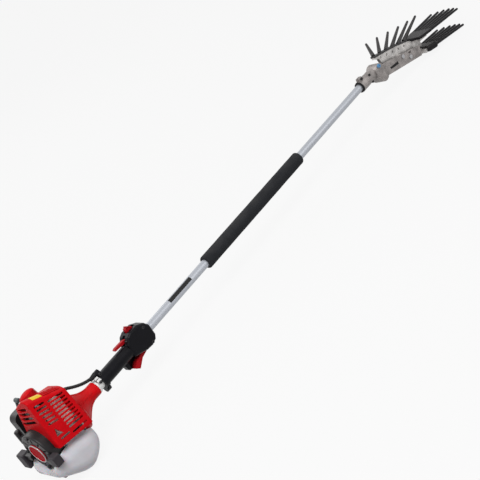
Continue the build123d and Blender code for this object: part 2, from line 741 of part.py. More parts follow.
def clutch_shoes():
    """Two clutch shoes, held on the flywheel's boss by their pivot bolts."""
    shoes = []
    for side in (-1, 1):
        shoe = ring_x(SHOE_R, 13, SHOE_BACK, SHOE_BACK + SHOE_T)
        shoe = shoe & block(SHOE_BACK - 1, SHOE_BACK + SHOE_T + 1, -SHOE_R, SHOE_R, 2, SHOE_R + 1)
        shoe -= cyl_x(3, SHOE_BACK - 1, SHOE_BACK + SHOE_T + 1, 8, 17)
        bolt = cyl_x(3, SHOE_BACK, SHOE_BACK + SHOE_T, 8, 17)
        bolt += cyl_x(5, SHOE_BACK + SHOE_T, SHOE_BACK + SHOE_T + 3, 8, 17)
        turn = Rot(0 if side > 0 else 180, 0, 0)
        shoes.append(turn * shoe)
        shoes.append(turn * bolt)
    disc = ring_x(24, CRANK_PIN_R + 1, SHOE_BACK - GAP, SHOE_BACK)
    shoes.append(disc)
    return group(shoes)


def clutch_drum():
    """Drum round the shoes, with the hollow hub that turns the drive shaft."""
    body = cyl_x(DRUM_R, SHOE_BACK, DRUM_END) - cyl_x(SHOE_R + DRUM_GAP, SHOE_BACK - 1, DRUM_END - DRUM_WALL)
    body += cyl_x(BEARING_BORE / 2, DRUM_END - 1, TUBE_START + 6)
    return body - cyl_x(SHAFT_DIA / 2, DRUM_END + 4, TUBE_START + 7)


def ignition_coil():
    """Coil on the case plate, close to the flywheel rim."""
    legs = block(FAN_BACK, FLYWHEEL_BACK + FLYWHEEL_T - 2, -11, 11, FLYWHEEL_R + 1, FLYWHEEL_R + 8)
    return Rot(60, 0, 0) * legs


# Cover, dome and knob


def cover_edge(x):
    """Height of the cover's right top edge."""
    rise = COVER_FRONT_TOP[1] - COVER_REAR_TOP[1]
    run = COVER_FRONT_TOP[0] - COVER_REAR_TOP[0]
    return COVER_REAR_TOP[1] + (x - COVER_REAR_TOP[0]) * rise / run


def cover_right(z):
    """Place of the leaning right face, y at a height."""
    return -COVER_RIGHT + (COVER_RIGHT - COVER_RIGHT_TOP) * z / COVER_REAR_TOP[1]


def cover_section(x, amount, drop):
    """Cross section of the cover: leaning right face, crown, and the fall to the left shoulder."""
    low = -AXIS_HEIGHT
    left = COVER_LEFT + drop
    edge = cover_edge(x)
    crown = edge + CROWN_RISE
    shoulder_y = SHOULDER[0]
    shoulder_z = SHOULDER[1] - SHOULDER_FALL * (x - COVER_REAR_TOP[0])
    points = [(cover_right(low), low), (left, low)]
    points += [(left, shoulder_z - left + shoulder_y), (shoulder_y, shoulder_z)]
    points += [(CROWN_Y[1], crown), (CROWN_Y[0], crown), (cover_right(edge), edge)]
    moved = inset(points, amount)
    return Pos(x, 0, 0) * (Plane.YZ * make_face(Polyline(*moved, close=True)))


def top_edge(body, y):
    """Edge of the cover's top that runs along X nearest to y."""
    high = body.edges().filter_by(lambda e: abs(e.center().X) < 1 and e.center().Z > CASE_R)
    return min(high, key=lambda e: abs(e.center().Y - y))


def corner_cut(amount):
    """Tool that bevels the cover's rear left corner along a leaning edge."""
    high = 2 * AXIS_HEIGHT
    back = -COVER_REACH
    start = SHOULDER[0] + back - COVER_REAR_TOP[0] - 2 * amount
    line = [(start + (SHOULDER[1] - z) * CORNER_LEAN, z) for z in (high, -AXIS_HEIGHT)]
    far = 3 * COVER_REACH
    face = make_face(Polyline(*line, (far, -AXIS_HEIGHT), (far, high), close=True))
    return extrude(Pos(back, 0, 0) * (Plane.YZ * face), amount=far, dir=(1, 1, 0))


def cover_form(amount, drop):
    """Cover outside, or its hollow when amount is the wall and it stays open below by drop."""
    front_low = COVER_REAR_LOW - math.tan(math.radians(COVER_DIP)) * (COVER_FRONT_X - COVER_REAR_X)
    lean = (COVER_REAR_TOP[0] - COVER_REAR_X) / (COVER_REAR_TOP[1] - COVER_REAR_LOW)
    high = 2 * AXIS_HEIGHT
    outline = [(COVER_REAR_X, COVER_REAR_LOW), (COVER_FRONT_X, front_low), (COVER_FRONT_X, high)]
    outline.append((COVER_REAR_X + lean * (high - COVER_REAR_LOW), high))
    moved = inset(outline, amount)
    moved[0] = (moved[0][0], COVER_REAR_LOW - drop)
    moved[1] = (moved[1][0], front_low - drop)
    side = prism_y(moved, -2 * COVER_RIGHT, 2 * COVER_LEFT + drop)
    shell = loft([cover_section(x, amount, drop) for x in (-COVER_REACH, COVER_REACH)], ruled=True)
    shell = fillet([top_edge(shell, y) for y in CROWN_Y], CROWN_ROUND - amount)
    shell = fillet(top_edge(shell, -COVER_RIGHT_TOP), COVER_ROUND - amount)
    shell = fillet(top_edge(shell, SHOULDER[0]), SHOULDER_ROUND - amount)
    return (side & shell) - corner_cut(amount)


def side_slot(x, z, length, dip):
    """Round-ended slot tool through the cover's right face."""
    face = Plane.XZ * SlotOverall(length, SLOT_H)
    tool = extrude(face, amount=COVER_RIGHT / 4, both=True)
    return Pos(x, cover_right(z), z) * Rot(0, dip, 0) * tool


def side_slots():
    """Long slots, short slots, two low slots and a triangle, on the cover's right face."""
    tools = []
    x, z, length = LONG_SLOT
    for row in range(LONG_SLOTS):
        dip = LONG_DIP[0] + (LONG_DIP[1] - LONG_DIP[0]) * row / (LONG_SLOTS - 1)
        tools.append(side_slot(x, z + row * LONG_PITCH, length, dip))
    x, z, length = SHORT_SLOT
    for row in range(SHORT_SLOTS):
        tools.append(side_slot(x, z + row * SHORT_PITCH, length, SHORT_DIP))
    for x, z, length in LOW_SLOTS:
        tools.append(side_slot(x, z, length, LONG_DIP[0]))
    tools.append(prism_y(CORNER_VENT, -COVER_RIGHT - 6, -COVER_RIGHT + 20))
    return tools


def rear_slots():
    """Large slots on the cover's rear face."""
    tools = []
    for y, z, length in REAR_SLOTS:
        face = Plane.YZ * SlotOverall(length, REAR_SLOT_H)
        tool = extrude(face, amount=COVER_RIGHT / 4, both=True)
        tools.append(Pos(COVER_REAR_X, y, z) * Rot(-REAR_SLOT_TILT, 0, 0) * tool)
    return tools


def louvre_slots():
    """Louvre slots along the front half of the crown."""
    x, y, length, width = LOUVRE_SLOT
    face = SlotOverall(length, width)
    low = cover_edge(x + length / 2) - 2 * CROWN_RISE
    tool = extrude(face, amount=AXIS_HEIGHT)
    return [Pos(x, y + index * LOUVRE_PITCH, low) * tool for index in range(LOUVRES)]


def engine_cover():
    """Red slotted cover over the cylinder and muffler, open below and on its left."""
    body = cover_form(0, 0)
    rear = body.faces().filter_by(lambda f: f.normal_at().X < -0.95)[0]
    front = body.faces().filter_by(lambda f: f.normal_at().X > 0.95)[0]
    rims = (rear.edges() + front.edges()).filter_by(lambda e: e.center().Z > CASE_R)
    body = fillet(rims.filter_by(lambda e: e.center().Y < SHOULDER[0] + 5), COVER_EDGE)
    body -= cover_form(COVER_WALL, 60)
    body -= block(COVER_OPEN_X, COVER_REACH, COVER_OPEN_Y, 2 * COVER_LEFT, -AXIS_HEIGHT, 2 * AXIS_HEIGHT)
    body -= cyl_x(FAN_R + GAP, CASE_FRONT - 4, COVER_FRONT_X + 10)
    body -= cyl_x(STARTER_R + GAP, STARTER_BACK, CASE_BACK + CASE_PLATE + GAP)
    for tool in side_slots() + rear_slots() + louvre_slots():
        body -= tool
    return body - plug_place(0) * cyl_z(15, 6, 60)


def plug_dome():
    """Ribbed red dome over the plug boot, seated on the cover."""
    outer = cyl_z(DOME_R, -DOME_UP, DOME_H) + Pos(0, 0, DOME_H) * scale(Sphere(DOME_R), (1, 1, 0.55))
    inner_r = DOME_R - DOME_WALL
    inner = cyl_z(inner_r, -DOME_UP - 1, DOME_H) + Pos(0, 0, DOME_H) * scale(Sphere(inner_r), (1, 1, 0.5))
    dome = outer - inner
    for index in range(4):
        groove = cyl_z(DOME_R + 1, 0, DOME_GROOVE[0]) - cyl_z(DOME_R - DOME_GROOVE[1], -1, DOME_GROOVE[0] + 1)
        dome -= Pos(0, 0, 5 + index * 3.5) * groove
    dome = plug_place(DOME_UP) * dome - cover_form(0, 0)
    return max(dome.solids(), key=lambda solid: solid.center().Z)


# Muffler, carburettor and air cleaner


def muffler():
    """Sheet box on the exhaust port, with a seam, an inlet flange and an outlet stub."""
    x0, x1 = MUFFLER_X
    z0, z1 = MUFFLER_Z
    inner = -PORT_FACE - MUFFLER_FLANGE
    shell = block(x0, x1, -MUFFLER_OUT, inner, z0, z1)
    shell = fillet(shell.edges().filter_by(Axis.Y), MUFFLER_ROUND)
    hollow = block(x0 + SHEET, x1 - SHEET, -MUFFLER_OUT + SHEET, inner - SHEET, z0 + SHEET, z1 - SHEET)
    hollow = fillet(hollow.edges().filter_by(Axis.Y), MUFFLER_ROUND - SHEET)
    middle = (inner - MUFFLER_OUT) / 2
    seam = block(x0 - 2, x1 + 2, middle - SHEET, middle + SHEET, z0 - 2, z1 + 2)
    shell += fillet(seam.edges().filter_by(Axis.Y), MUFFLER_ROUND)
    shell += block(CRANK_MID - 16, CRANK_MID + 16, inner - 1, -PORT_FACE, PORT_Z - 11, PORT_Z + 11)
    out_x, out_z = MUFFLER_OUTLET
    shell += cyl_y(PORT_R, -MUFFLER_OUT - 6, -MUFFLER_OUT + 1, out_x, out_z)
    shell -= hollow
    shell -= cyl_y(PORT_R, inner - 4, -PORT_FACE + 1, CRANK_MID, PORT_Z)
    return shell - cyl_y(PORT_R - SHEET, -MUFFLER_OUT - 7, -MUFFLER_OUT + 3, out_x, out_z)


def insulator():
    """Heat insulator between the cylinder and the carburettor."""
    plate = block(CRANK_MID - 16, CRANK_MID + 16, PORT_FACE, CARB_FACE, PORT_Z - 12, PORT_Z + 12)
    plate = fillet(plate.edges().filter_by(Axis.Y), 4)
    return plate - cyl_y(PORT_R, PORT_FACE - 1, CARB_FACE + 1, CRANK_MID, PORT_Z)


def carburettor():
    """Carburettor body with an intake spigot, two diaphragm covers and the primer's pocket."""
    shoulder = CLEANER_FACE - SPIGOT_LENGTH
    half = CARB_HALF - 4
    body = block(CRANK_MID - half, CRANK_MID + half, CARB_FACE, shoulder, PORT_Z - half, PORT_Z + half)
    x0, x1 = CRANK_MID - CARB_HALF, CRANK_MID + CARB_HALF
    for z in (PORT_Z + half - 4, PORT_Z - half - 2):
        body += block(x0, x1, CARB_FACE + 3, shoulder - 2, z, z + 6)
    body += cyl_y(SPIGOT_R, shoulder, CLEANER_FACE, CRANK_MID, PORT_Z)
    body += cyl_x(3, x0, CRANK_MID, CARB_FACE + 10, PORT_Z)
    end_x, end_y, end_z = CONDUIT_ROUTE[-1]
    body += cyl_x(BOSS_R, CRANK_MID + half - 1, end_x, end_y, end_z)
    body -= cyl_y(PORT_R, CARB_FACE - 1, CLEANER_FACE + 1, CRANK_MID, PORT_Z)
    pocket_top = PORT_Z - half - 2 + PRIMER_TRAVEL + 1
    return body - cyl_z(PRIMER_R + GAP, PORT_Z - 2 * half, pocket_top, CRANK_MID, PRIMER_Y)


def primer_bulb():
    """Soft primer bulb under the carburettor."""
    top = PORT_Z - CARB_HALF + 2
    bulb = cyl_z(PRIMER_R, top - 3, top, CRANK_MID, PRIMER_Y)
    dome = Pos(CRANK_MID, PRIMER_Y, top - 3) * Sphere(PRIMER_R)
    dome -= block(-AXIS_HEIGHT, AXIS_HEIGHT, 0, AXIS_HEIGHT, top - 3, AXIS_HEIGHT)
    return bulb + dome


def choke_lever():
    """Choke lever with a grey knob, turning on a pin of the air cleaner's base."""
    pin_x, pin_z = CHOKE_PIN
    knob_x, knob_z = CHOKE_KNOB
    y0 = CLEANER_FACE - 6
    y1 = CLEANER_FACE - 2
    hub = cyl_y(2 * CHOKE_PIN_R, y0, y1, pin_x, pin_z)
    outline = [(pin_x - 4, pin_z), (pin_x + 4, pin_z), (knob_x + 4, knob_z), (knob_x - 4, knob_z)]
    arm = prism_y(outline, y0, y1)
    knob = cyl_y(KNOB_R, COVER_LEFT + 4, y1, knob_x, knob_z)
    knob = fillet(knob.edges().filter_by(GeomType.CIRCLE).group_by(Axis.Y)[0], 3)
    lever = hub + arm + knob
    return lever - cyl_y(CHOKE_PIN_R + RUN_FIT, y0 - 1, y1 + 1, pin_x, pin_z)


def cleaner_box(amount, y0, y1):
    """Rounded box of the air cleaner, drawn in by amount."""
    x0, x1 = CLEANER_X
    z0, z1 = CLEANER_Z
    box = block(x0 + amount, x1 - amount, y0, y1, z0 + amount, z1 - amount)
    return fillet(box.edges().filter_by(Axis.Y), CLEANER_ROUND - amount)


def air_cleaner_base():
    """Base plate with the intake hole and the choke lever's pin."""
    back = CLEANER_FACE + CLEANER_BASE_T
    base = cleaner_box(0, CLEANER_FACE, back)
    base += cyl_y(CHOKE_PIN_R, CLEANER_FACE - 7, CLEANER_FACE + 1, *CHOKE_PIN)
    base -= cyl_y(PORT_R, CLEANER_FACE - 1, back + 1, CRANK_MID, PORT_Z)
    return base


def air_filter():
    """Foam filter element."""
    back = CLEANER_FACE + CLEANER_BASE_T
    return cleaner_box(CLEANER_WALL + 3, back, back + FILTER_T)


def air_cleaner_cover():
    """Hollow black cover of the air cleaner."""
    back = CLEANER_FACE + CLEANER_BASE_T
    end = back + CLEANER_COVER_T
    cover = cleaner_box(0, back, end)
    cover = fillet(cover.edges().group_by(Axis.Y)[-1], CLEANER_EDGE)
    for index in range(4):
        x = CLEANER_X[0] + 14 + index * 14
        cover -= block(x, x + 4, end - 1.5, end + 1, CLEANER_Z[0] + 14, CLEANER_Z[1] - 14)
    return cover - cleaner_box(CLEANER_WALL, back - 1, end - CLEANER_WALL - 1)


# Recoil starter


def guard_arm(side):
    """Arm of the starter case that carries a guard foot."""
    return block(ARM_X[0], ARM_X[1], side * ARM_Y[0], side * ARM_Y[1], ARM_Z[0], ARM_Z[1])


def starter_case():
    """Black cup with slots, spindle, rope guide and the two arms to the guard feet."""
    inner_r = STARTER_R - STARTER_WALL
    floor_x = STARTER_BACK + STARTER_WALL
    body = cyl_x(STARTER_R, STARTER_BACK, CASE_BACK)
    body = fillet(body.edges().group_by(Axis.X)[0], 5)
    for side in (-1, 1):
        body += guard_arm(side)
    body += cyl_y(7, 44, ROPE_EXIT, ROPE_X, ROPE_LINE)
    body -= cyl_x(inner_r, floor_x, CASE_BACK + 1)
    body += cyl_x(SPINDLE_R, floor_x - 1, PULLEY_FRONT + 5)
    for y, z in ring_places(4, SCREW_RING, 0):
        body += cyl_x(5, floor_x - 1, CASE_BACK, y, z)
        body -= cyl_x(SCREW_R, STARTER_BACK - 1, CASE_BACK + 1, y, z)
    for index in range(12):
        slot = block(STARTER_BACK - 1, floor_x + 1, 36, 52, -2.5, 2.5)
        body -= Rot(15 + index * 30, 0, 0) * slot
    return body - cyl_y(ROPE_DIA / 2 + GAP, 40, ROPE_EXIT + 1, ROPE_X, ROPE_LINE)


def starter_badge():
    """Round bare badge with a raised rim."""
    badge = cyl_x(BADGE_R, STARTER_BACK - BADGE_T, STARTER_BACK)
    return badge - cyl_x(BADGE_R - 3, STARTER_BACK - BADGE_T - 1, STARTER_BACK - BADGE_T + 1)


def recoil_spring():
    """Flat spiral spring, drawn as half rings that grow by half a step each."""
    x0 = STARTER_BACK + STARTER_WALL
    spring = None
    for index in range(SPRING_TURNS):
        radius = SPRING_R + index * SPRING_STEP
        upper = ring_x(radius + SPRING_T / 2, radius - SPRING_T / 2, x0, x0 + SPRING_H)
        upper &= block(x0 - 1, x0 + SPRING_H + 1, -FAN_R, FAN_R, 0, FAN_R)
        shift = -SPRING_STEP / 2
        radius += SPRING_STEP / 2
        lower = ring_x(radius + SPRING_T / 2, radius - SPRING_T / 2, x0, x0 + SPRING_H, shift)
        lower &= block(x0 - 1, x0 + SPRING_H + 1, -FAN_R, FAN_R, -FAN_R, 0)
        spring = upper + lower if spring is None else spring + upper + lower
    return spring


def starter_pulley():
    """Grooved rope pulley with its pawl boss."""
    rear = PULLEY_FRONT - PULLEY_T
    core = ROPE_LINE - ROPE_DIA / 2 - 0.4
    side = (PULLEY_T - ROPE_DIA - 2 * GAP) / 2
    body = cyl_x(core, rear, PULLEY_FRONT)
    body += cyl_x(PULLEY_R, rear, rear + side) + cyl_x(PULLEY_R, PULLEY_FRONT - side, PULLEY_FRONT)
    body += cyl_x(12, PULLEY_FRONT - 1, PULLEY_FRONT + 3)
    return body - cyl_x(SPINDLE_R + RUN_FIT, rear - 1, PULLEY_FRONT + 4)


def starter_rope():
    """Starter rope from the pulley's top to the handle."""
    end = ROPE_EXIT + HANDLE_STEM
    return cyl_y(ROPE_DIA / 2, end - ROPE_LENGTH, end, ROPE_X, ROPE_LINE)


def starter_handle():
    """T handle of the starter rope."""
    start = ROPE_EXIT + GAP
    radius = HANDLE_GRIP_DIA / 2
    y = ROPE_EXIT + HANDLE_STEM + radius - 2
    half = HANDLE_GRIP_LENGTH / 2
    bar = cyl_z(radius, ROPE_LINE - half, ROPE_LINE + half, ROPE_X, y)
    bar = fillet(bar.edges().filter_by(GeomType.CIRCLE), 5)
    handle = bar + cyl_y(6, start, y, ROPE_X, ROPE_LINE)
    return handle - cyl_y(ROPE_DIA / 2, start - 1, ROPE_EXIT + HANDLE_STEM, ROPE_X, ROPE_LINE)


def guard_feet():
    """Two rubber guard blocks, pushed onto the starter case's arms."""
    left = Pos(*LEFT_FOOT_PLACE) * Box(*LEFT_FOOT)
    right = Pos(*RIGHT_FOOT_PLACE) * Box(*RIGHT_FOOT)
    return group([fillet(left.edges(), 4) - guard_arm(1), fillet(right.edges(), 4) - guard_arm(-1)])


def case_screws():
    """Screws of the starter case and of the cylinder base."""
    solids = []
    for y, z in ring_places(4, SCREW_RING, 0):
        solids.append(Pos(STARTER_BACK, y, z) * Rot(0, -90, 0) * screw(STARTER_DEPTH + CASE_PLATE))
    for x, y in base_screw_places():
        solids.append(Pos(x, y, DECK_Z + BASE_T) * screw(BASE_T + BASE_GRIP))
    return group(solids)


# Tube, shaft and grip


def tube():
    """Long aluminium tube."""
    return ring_x(TUBE_R, TUBE_R - TUBE_WALL, TUBE_START, TUBE_END)


def drive_shaft():
    """Steel shaft from the clutch drum to the pinion."""
    return cyl_x(SHAFT_DIA / 2, DRUM_END + 4, HEAD_X + SHAFT_IN_HEAD)


def shaft_bushes():
    """Plain bushes that steady the shaft inside the tube."""
    bushes = []
    step = (TUBE_LENGTH - BUSH_LENGTH) / (BUSH_COUNT + 1)
    for index in range(BUSH_COUNT):
        x = TUBE_START + step * (index + 1)
        bushes.append(ring_x(TUBE_R - TUBE_WALL, SHAFT_DIA / 2 + RUN_FIT, x, x + BUSH_LENGTH))
    return group(bushes)


def foam_grip():
    """Long foam grip on the tube."""
    grip = cyl_x(GRIP_DIA / 2, GRIP_START, GRIP_START + GRIP_LENGTH)
    grip = fillet(grip.edges().filter_by(GeomType.CIRCLE), GRIP_ROUND)
    return grip - cyl_x(TUBE_R, GRIP_START - 1, GRIP_START + GRIP_LENGTH + 1)


def collar_place():
    """Turn of the collar's ears towards the right."""
    return Pos(NOSE_END, 0, 0) * Rot(COLLAR_TURN, 0, 0)


def tube_collar():
    """Clamp collar on the tube, in front of the nose."""
    collar = cyl_x(NOSE_R - 1, 0, COLLAR_FLANGE) + cyl_x(COLLAR_R, COLLAR_FLANGE - 1, COLLAR_LENGTH)
    ears = block(COLLAR_FLANGE + 2, COLLAR_LENGTH - 2, -EAR_HALF, EAR_HALF, TUBE_R, COLLAR_R + EAR_H)
    collar += fillet(ears.edges().filter_by(Axis.X).group_by(Axis.Z)[-1], 3)
    collar -= cyl_x(TUBE_R, -1, COLLAR_LENGTH + 1)
    slit = CLAMP_SLIT / 2
    collar -= block(COLLAR_FLANGE, COLLAR_LENGTH + 1, -slit, slit, TUBE_R - 2, COLLAR_R + EAR_H + 1)
    middle = (COLLAR_FLANGE + COLLAR_LENGTH) / 2
    collar -= cyl_y(SCREW_R, -EAR_HALF - 1, EAR_HALF + 1, middle, COLLAR_R + EAR_H / 2)
    return collar_place() * collar


def clamp_screws():
    """Pinch screws of the collar and of the head's socket, and the screws of the gear case."""
    middle = (COLLAR_FLANGE + COLLAR_LENGTH) / 2
    place = collar_place() * Pos(middle, -EAR_HALF, COLLAR_R + EAR_H / 2) * Rot(90, 0, 0)
    solids = [place * screw(2 * EAR_HALF)]
    for x, z, half in head_screws():
        solids.append(Pos(x, -half, z) * Rot(90, 0, 0) * screw(2 * half))
    return group(solids)


# Control handle


def at_handle(points):
    """Outline given from the handle's rear end."""
    return [(HANDLE_START + x, z) for x, z in points]


def handle_screws():
    """Handle screws: (x, z, half length along Y)."""
    flange_x = HANDLE_START + FLANGE_T / 2
    block_x = HANDLE_END - 22
    half = HANDLE_HALF_Y - 4
    return [(flange_x, LOBE_Z, LOBE_R), (flange_x, -LOBE_Z, LOBE_R), (block_x, 26, half), (block_x, -28, half)]


def handle_form():
    """Both halves of the handle in one, with the pockets of the controls."""
    grip = cyl_x(HANDLE_GRIP_R, HANDLE_START + FLANGE_T - 2, BLOCK_START + 8)
    body = grip + cyl_x(HANDLE_GRIP_R + 3, HANDLE_START, HANDLE_START + FLANGE_T)
    for z in (-LOBE_Z, LOBE_Z):
        body += cyl_x(LOBE_R, HANDLE_START, HANDLE_START + FLANGE_T, 0, z)
    case = prism_y(at_handle(HANDLE_OUTLINE), -HANDLE_HALF_Y, HANDLE_HALF_Y)
    rims = case.edges().filter_by(lambda e: abs(abs(e.center().Y) - HANDLE_HALF_Y) < 0.1)
    body += fillet(rims, HANDLE_ROUND)
    cheek = TRIGGER_W / 2 + 1
    body += prism_y(at_handle(GUARD_OUTLINE), -GUARD_HALF, cheek + HANDLE_WALL)
    body += prism_y(at_handle(CHEEK_OUTLINE), cheek, cheek + HANDLE_WALL)
    body -= cyl_x(TUBE_R, HANDLE_START - 1, HANDLE_END + 1)
    body -= block(HANDLE_START + 116, HANDLE_START + 188, -cheek, cheek, -48, -15)
    slot = LEVER_W / 2 + GAP
    body -= block(HANDLE_START + 114, HANDLE_START + 140, -slot, slot, 19, 48)
    slot = SWITCH_W / 2 + GAP
    body -= block(HANDLE_START + 146, HANDLE_START + 182, -slot, slot, SWITCH_Z, 60)
    for x, z, half in handle_screws():
        body -= cyl_y(SCREW_R, -half, half, x, z)
        body -= cyl_y(SCREW_HEAD_R, -half - 20, -half, x, z)
    body -= cyl_y(TRIGGER_PIN_R, -PIN_HALF, PIN_HALF, *at_handle([TRIGGER_PIVOT])[0])
    return body - cyl_y(LEVER_PIN_R, -PIN_HALF, PIN_HALF, *at_handle([LEVER_PIVOT])[0])


def handle_left():
    """Left half of the handle."""
    return handle_form() & block(HANDLE_START - 1, HANDLE_END + 1, 0, 60, -AXIS_HEIGHT, AXIS_HEIGHT)


def handle_right():
    """Right half of the handle."""
    return handle_form() & block(HANDLE_START - 1, HANDLE_END + 1, -60, 0, -AXIS_HEIGHT, AXIS_HEIGHT)


def handle_pins():
    """Pivot pins of the trigger and the lock-out lever, and the four handle screws."""
    trigger_x, trigger_z = at_handle([TRIGGER_PIVOT])[0]
    lever_x, lever_z = at_handle([LEVER_PIVOT])[0]
    solids = [cyl_y(TRIGGER_PIN_R, -PIN_HALF, PIN_HALF, trigger_x, trigger_z)]
    solids.append(cyl_y(LEVER_PIN_R, -PIN_HALF, PIN_HALF, lever_x, lever_z))
    for x, z, half in handle_screws():
        solids.append(Pos(x, -half, z) * Rot(90, 0, 0) * screw(2 * half))
    return group(solids)


def throttle_trigger():
    """Ribbed throttle trigger, hung at its front end."""
    x, z = at_handle([TRIGGER_PIVOT])[0]
    half = TRIGGER_W / 2
    body = prism_y(at_handle(TRIGGER_OUTLINE), -half, half)
    body += cyl_y(TRIGGER_PIN_R + 3, -half, half, x, z)
    for index in range(7):
        rib_x, rib_z = at_handle([(120.0 + index * 3.6, -58.8 + index * 2.6)])[0]
        body -= Pos(rib_x, 0, rib_z) * Rot(90, 0, 0) * Cylinder(1.0, TRIGGER_W - 3)
    return body - cyl_y(TRIGGER_PIN_R + RUN_FIT, -half - 1, half + 1, x, z)


def lockout_lever():
    """Thin lever on top of the grip that frees the trigger."""
    x, z = at_handle([LEVER_PIVOT])[0]
    half = LEVER_W / 2
    body = prism_y(at_handle(LEVER_OUTLINE), -half, half) + cyl_y(LEVER_PIN_R + 2.5, -half, half, x, z)
    return body - cyl_y(LEVER_PIN_R + RUN_FIT, -half - 1, half + 1, x, z)


def stop_switch():
    """Sliding stop switch on top of the handle."""
    half = SWITCH_W / 2
    body = prism_y(at_handle(SWITCH_OUTLINE), -half, half)
    for index in range(3):
        x = HANDLE_START + 154 + index * 4
        body -= block(x, x + 1.5, -half - 1, half + 1, SWITCH_Z + 15, SWITCH_Z + 30)
    return body


def throttle_conduit():
    """Ribbed hollow conduit from the handle to the carburettor."""
    path = FilletPolyline(*CONDUIT_ROUTE, radius=CONDUIT_BEND)
    start = Plane(origin=path @ 0, z_dir=path % 0)
    tube_face = start * (Circle(CONDUIT_DIA / 2) - Circle(CONDUIT_BORE / 2))
    body = sweep(tube_face, path=path)
    for index in range(CONDUIT_RIBS):
        along = (index + 0.5) / CONDUIT_RIBS
        place = Plane(origin=path @ along, z_dir=path % along)
        rib = Circle(CONDUIT_DIA / 2 + RIB_DEPTH) - Circle(CONDUIT_BORE / 2 + 1)
        body += extrude(place * rib, amount=RIB_DEPTH * 1.2, both=True)
    return body


# Head: gear case


def in_head(u, w):
    """World (x, z) of a point of the tilted head frame."""
    beta = math.radians(BEND)
    x = HEAD_X + BEND_START + u * math.cos(beta) + w * math.sin(beta)
    return x, w * math.cos(beta) - u * math.sin(beta)


def head_prism(points, y0, y1):
    """Solid of a (u, w) outline of the head frame."""
    return HEAD_LOC * prism_y(points, y0, y1)


def head_cyl(radius, y0, y1, place):
    """Cylinder along Y at a place of the head frame."""
    return HEAD_LOC * cyl_y(radius, y0, y1, *place)


def head_screws():
    """Screws of the socket and the gear case: (x, z, half length along Y)."""
    clamp = (HEAD_X + 14, SOCKET_R + SOCKET_EAR / 2 - 1, EAR_HALF)
    return [clamp, (HEAD_X + 50, 13.5, 14.0), (HEAD_X + 50, -13.5, 14.0)]


def beam_bottom(u):
    """Height of the beam's underside."""
    rise = (BEAM_LOW[1] - BEAM_LOW[0]) / (BEAM_FRONT - BEAM_BACK)
    return BEAM_LOW[0] + (u - BEAM_BACK) * rise


def case_drum(radius, place):
    """Round part of the gear case, with its left rim well rounded and its right rim slightly."""
    drum = head_cyl(radius, -CASE_HALF_Y, CASE_HALF_Y, place)
    drum = fillet(drum.edges().filter_by(GeomType.CIRCLE).group_by(Axis.Y)[-1], CASE_ROUND)
    return fillet(drum.edges().filter_by(GeomType.CIRCLE).group_by(Axis.Y)[0], CASE_EDGE)


def gear_case():
    """Both halves of the gear case in one: clamp socket, gear chamber and the open beam of the arms."""
    body = cyl_x(SOCKET_R, HEAD_X, HEAD_X + SOCKET_LENGTH)
    ears = block(HEAD_X + 6, HEAD_X + 22, -EAR_HALF, EAR_HALF, TUBE_R, SOCKET_R + SOCKET_EAR)
    body += fillet(ears.edges().filter_by(Axis.X).group_by(Axis.Z)[-1], 4)
    bulge = case_drum(BULGE_R, CAM_PLACE) + case_drum(SUMP_R, SUMP_PLACE)
    outline = [(BEAM_BACK, BEAM_TOP), (BEAM_BACK, BEAM_LOW[0])]
    outline += [(BEAM_FRONT, BEAM_LOW[1]), (BEAM_FRONT, BEAM_TOP)]
    body += bulge + head_prism(outline, -BEAM_HALF_Y, BEAM_HALF_Y)
    chamber_half = CASE_HALF_Y - CAM_BEARING_T - 1.5
    chamber = head_cyl(BULGE_R - CASE_WALL, -chamber_half, chamber_half, CAM_PLACE)
    chamber += head_cyl(SUMP_R - CASE_WALL, -chamber_half, chamber_half, SUMP_PLACE)
    seat = chamber_half + CAM_BEARING_T
    chamber += head_cyl(CAM_BEARING_OD / 2, -seat, seat, CAM_PLACE)
    inner = BEAM_HALF_Y - CASE_WALL
    trough = [
        (BEAM_BACK + 10, BEAM_TOP + 30),
        (BEAM_BACK + 10, beam_bottom(BEAM_BACK + 10) + FLOOR_T),
        (FLOOR_END, beam_bottom(FLOOR_END) + FLOOR_T),
        (FLOOR_END, beam_bottom(FLOOR_END) - 40),
        (BEAM_FRONT + 40, beam_bottom(FLOOR_END) - 40),
        (BEAM_FRONT + 40, BEAM_TOP + 30),
    ]
    chamber += head_prism(trough, -inner, inner)
    body -= chamber
    body -= cyl_x(TUBE_R, HEAD_X - 1, HEAD_X + TUBE_IN_HEAD)
    body -= cyl_x(SHAFT_DIA, HEAD_X, HEAD_X + SOCKET_LENGTH + 20)
    body -= cyl_x(BEARING_OD / 2, HEAD_X + PINION_SEAT, HEAD_X + PINION_SEAT + BEARING_T)
    slit = CLAMP_SLIT / 2
    body -= block(HEAD_X - 1, HEAD_X + 30, -slit, slit, TUBE_R - 2, SOCKET_R + SOCKET_EAR + 1)
    for x, z, half in head_screws():
        body -= cyl_y(SCREW_R, -half, half, x, z)
        body -= cyl_y(SCREW_HEAD_R, -half - 20, -half, x, z)
    for place in (UPPER_PIVOT, LOWER_PIVOT):
        body -= head_cyl(PIVOT_R, -BEAM_HALF_Y - 1, BEAM_HALF_Y + 1, place)
    body -= head_prism(RECESS, -BEAM_HALF_Y - 1, -BEAM_HALF_Y + RECESS_DEEP)
    body -= head_prism([(232, 19), (246, 19), (246, 26), (232, 26)], -BEAM_HALF_Y - 1, -inner + 1)
    return body - plug_axis() * cyl_z(GREASE_R - 3, -2 * GREASE_DEEP, 1)


def plug_axis():
    """Place of the grease plug's seat on the gear chamber's right side."""
    u, w = GREASE_PLACE
    return HEAD_LOC * Pos(u, -CASE_HALF_Y, w) * Rot(90, 0, 0)


